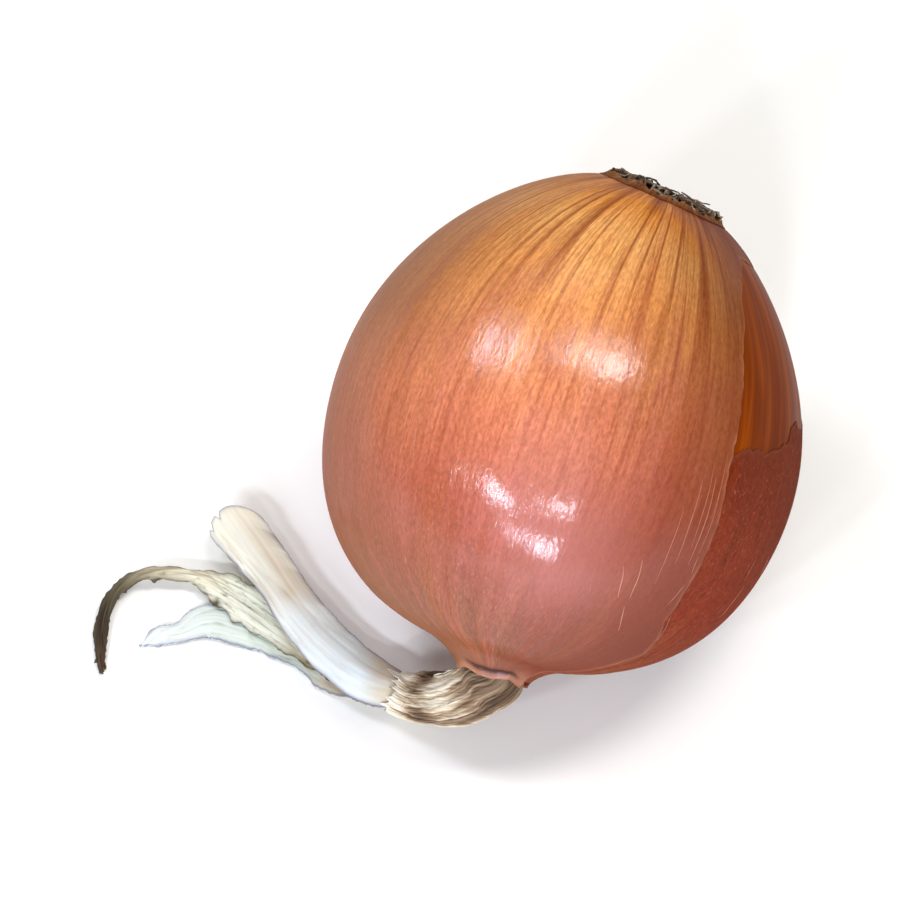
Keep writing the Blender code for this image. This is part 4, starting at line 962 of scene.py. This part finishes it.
def pointed_end(v):
    """How far the blade is cut back: a power of the share of its half width, so that it ends in a point."""
    return POINT_LENGTH * abs(v) ** 1.4


def round_nicked_end(v):
    """How far the blade is cut back: a slanted round end with two small nicks torn in its left half."""
    rounded = BROAD_END_ROUND * (1.0 - np.sqrt(1.0 - 0.95 * v ** 2))
    slanted = BROAD_END_SLANT * np.clip(v, 0.0, 1.0) ** 1.5
    nicks = sum(NICK_DEPTH * np.clip(1.0 - abs(v - at) / NICK_HALF_WIDTH, 0.0, 1.0) for at in NICKS)
    return rounded + slanted + nicks


IVORY_LEFT = ((0.0, "#A8946E"), (0.08, "#CFC8AE"), (0.20, "#E9F4EF"), (0.5, "#EAEFE4"), (0.62, "#E7E6D2"),
              (1.0, "#E2DFC6"))
# The right half is darker than the left: partly its own tan, partly painted shade on the half that faces away
# from the light.
IVORY_RIGHT = ((0.0, "#8E7858"), (0.12, "#C4BAA4"), (0.3, "#E0EAE2"), (0.5, "#E5E7DA"), (0.62, "#E2D8BE"),
               (1.0, "#E4DEC4"))
GREEN_STOPS = ((0.0, "#BFAE8C"), (0.20, "#DCC8A0"), (0.31, "#E0D6B8"), (0.36, "#D6DAC4"), (0.6, "#D6DECC"),
               (1.0, "#DADFDA"))
# From 0.12 to 0.26 of its length, where it passes beside and under the broad leaf, it is darker olive: partly
# its own colour, partly painted shadow of that leaf.
WITHERED_STOPS = ((0.0, "#B09A6C"), (0.12, "#8E7A4A"), (0.26, "#A0926A"), (0.36, "#DEDFC9"),
                  (0.50, "#E0E0C8"), (0.57, "#DAD4B8"), (0.63, "#CAC2A6"), (0.69, "#AAA084"),
                  (0.77, "#5E543E"), (0.85, "#2E251B"), (1.0, "#42281E"))
ivory = leaf_finish("papery_ivory_leaf", IVORY_LEFT, IVORY_RIGHT, ("#D8DAD6", "#CDBA98", "#807C88"),
                    blotches=0.12, roughness=0.68)
green = leaf_finish("papery_pale_green_leaf", GREEN_STOPS, GREEN_STOPS, ("#B8BCA8", "#8E8A62", "#7C8292"),
                    blotches=0.2, roughness=0.6)
dark = leaf_finish("withered_leaf_strand", WITHERED_STOPS, WITHERED_STOPS, ("#787452", "#3A3220", "#4A4434"),
                   blotches=0.6, roughness=0.7)
broad = leaf("broad_ivory_leaf", "ivory_leaf", ivory, BROAD_LEAF, BROAD_STAINS, rows=170, columns=61,
             cut_back=round_nicked_end, number=1, rib_depth=0.007 * MM, crease_depth=0.06 * MM,
             wave=0.35 * MM, roughness=0.02)
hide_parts("broad_leaf")
withered = leaf("withered_thin_leaf", "withered_leaf", dark, WITHERED_LEAF, WITHERED_STAINS, rows=260,
                columns=41, cut_back=pointed_end, number=2, rib_depth=0.014 * MM, crease_depth=0.14 * MM,
                wave=0.30 * MM, roughness=0.12)
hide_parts("withered_leaf")
torn = leaf("ragged_green_leaf", "pale_leaf", green, RAGGED_LEAF, RAGGED_STAINS, rows=200, columns=47,
            cut_back=pointed_end, number=3, rib_depth=0.010 * MM, crease_depth=0.12 * MM,
            wave=0.25 * MM, roughness=0.08)
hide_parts("ragged_leaf")


# The studio: a pale matt floor, round panels of light overhead and behind, small windows of light in
# front, and a camera that looks down on the onion from the front, as the photograph does.
CAMERA_ELEVATION, CAMERA_DISTANCE, VIEW_WIDTH, SENSOR = np.radians(58.0), 1.6, 144 * MM, 36.0
FRAME_ASIDE, FRAME_DOWN = -18.84 * MM, 3.6 * MM
FLOOR_REACH, FAR_CLIP = 3.0, 20.0

floor_mesh = bpy.data.meshes.new("floor")
corners = [(x * FLOOR_REACH, y * FLOOR_REACH, 0) for x, y in ((-1, -1), (1, -1), (1, 1), (-1, 1))]
floor_mesh.from_pydata(corners, [], [(0, 1, 2, 3)])
floor = bpy.data.objects.new("floor", floor_mesh)
bpy.context.scene.collection.objects.link(floor)
paper, tree, shader = new_finish("matt_white_paper", {"Base Color": linear("#F6F4EA"), "Roughness": 0.9})
floor_mesh.materials.append(paper)

up = np.array((0.0, np.sin(CAMERA_ELEVATION), np.cos(CAMERA_ELEVATION)))
back = np.array((0.0, -np.cos(CAMERA_ELEVATION), np.sin(CAMERA_ELEVATION)))
aim = BULB_MIDDLE + np.array((FRAME_ASIDE, 0.0, 0.0)) - up * FRAME_DOWN
camera = bpy.data.objects.new("camera", bpy.data.cameras.new("camera"))
camera.location = aim + back * CAMERA_DISTANCE
camera.rotation_euler = (np.pi / 2 - CAMERA_ELEVATION, 0.0, 0.0)
camera.data.sensor_width = SENSOR
camera.data.lens = SENSOR * CAMERA_DISTANCE / VIEW_WIDTH
camera.data.clip_end = FAR_CLIP
bpy.context.scene.collection.objects.link(camera)
bpy.context.scene.camera = camera

# Each light: its name, its direction from the bulb, then its distance, width and height in metres, its
# brightness before the studio's level, and its colour. Each is a round panel that faces the bulb.
STUDIO_LEVEL = 0.86
LIGHTS = (("ceiling_panel_right", (0.27, 0.08, 0.95), 1.15, 0.84, 0.34, 6.5, "#FFFFFF"),
          ("ceiling_tube_right", (0.36, 0.01, 0.93), 1.1, 0.46, 0.14, 27.0, "#FBFBFF"),
          ("ceiling_panel_left", (-0.42, 0.22, 0.87), 1.15, 0.54, 0.30, 6.5, "#ECEFFF"),
          ("ceiling_tube_left", (-0.48, 0.22, 0.85), 1.1, 0.28, 0.17, 25.0, "#E4E9FF"),
          ("ceiling_glow", (0.10, 0.00, 0.99), 1.6, 2.20, 1.60, 0.28, "#FFFFFF"),
          ("back_panel", (0.05, 0.62, 0.78), 1.6, 1.10, 0.55, 1.7, "#FFFAF4"),
          ("fill_panel", (-0.05, -0.58, 0.80), 1.7, 1.30, 0.95, 1.30, "#FFFFFF"),
          ("window_first", (-0.56, -0.61, 0.50), 1.2, 0.07, 0.11, 170.0, "#E6ECFF"),
          ("window_second", (-0.44, -0.72, 0.52), 1.2, 0.08, 0.11, 180.0, "#E6ECFF"),
          ("window_third", (-0.33, -0.79, 0.51), 1.2, 0.06, 0.09, 150.0, "#E6ECFF"),
          ("window_right", (0.02, -0.87, 0.57), 1.2, 0.07, 0.05, 380.0, "#EEF1FF"),
          ("window_lower_left", (-0.31, -0.91, 0.32), 1.2, 0.04, 0.11, 150.0, "#E2E6FF"),
          ("window_lower_right", (-0.09, -0.97, 0.22), 1.2, 0.035, 0.20, 420.0, "#E6ECFF"))
for name, direction, distance, width, height, brightness, colour in LIGHTS:
    facing = unit(np.array(direction))
    overhead = facing[2] > 0.9
    level = np.array((1.0, 0.0, 0.0)) if overhead else np.array((-facing[1], facing[0], 0.0))
    level = unit(level - facing * level.dot(facing))
    data = bpy.data.lights.new(name, "AREA")
    data.shape, data.size, data.size_y = "ELLIPSE", width, height
    data.energy = STUDIO_LEVEL * brightness * np.pi ** 2 / 4 * width * height
    data.color = linear(colour)[:3]
    lamp = bpy.data.objects.new(name, data)
    lamp.location = BULB_MIDDLE + facing * distance
    lamp.rotation_euler = Matrix(np.stack((level, np.cross(facing, level), facing), -1)).to_euler()
    bpy.context.scene.collection.objects.link(lamp)
sky = bpy.data.worlds.new("studio")
sky.use_nodes = True
sky.node_tree.nodes["Background"].inputs["Color"].default_value = linear("#F2F4F8")
sky.node_tree.nodes["Background"].inputs["Strength"].default_value = 0.05
bpy.context.scene.world = sky
bpy.context.scene.view_settings.view_transform = "Standard"
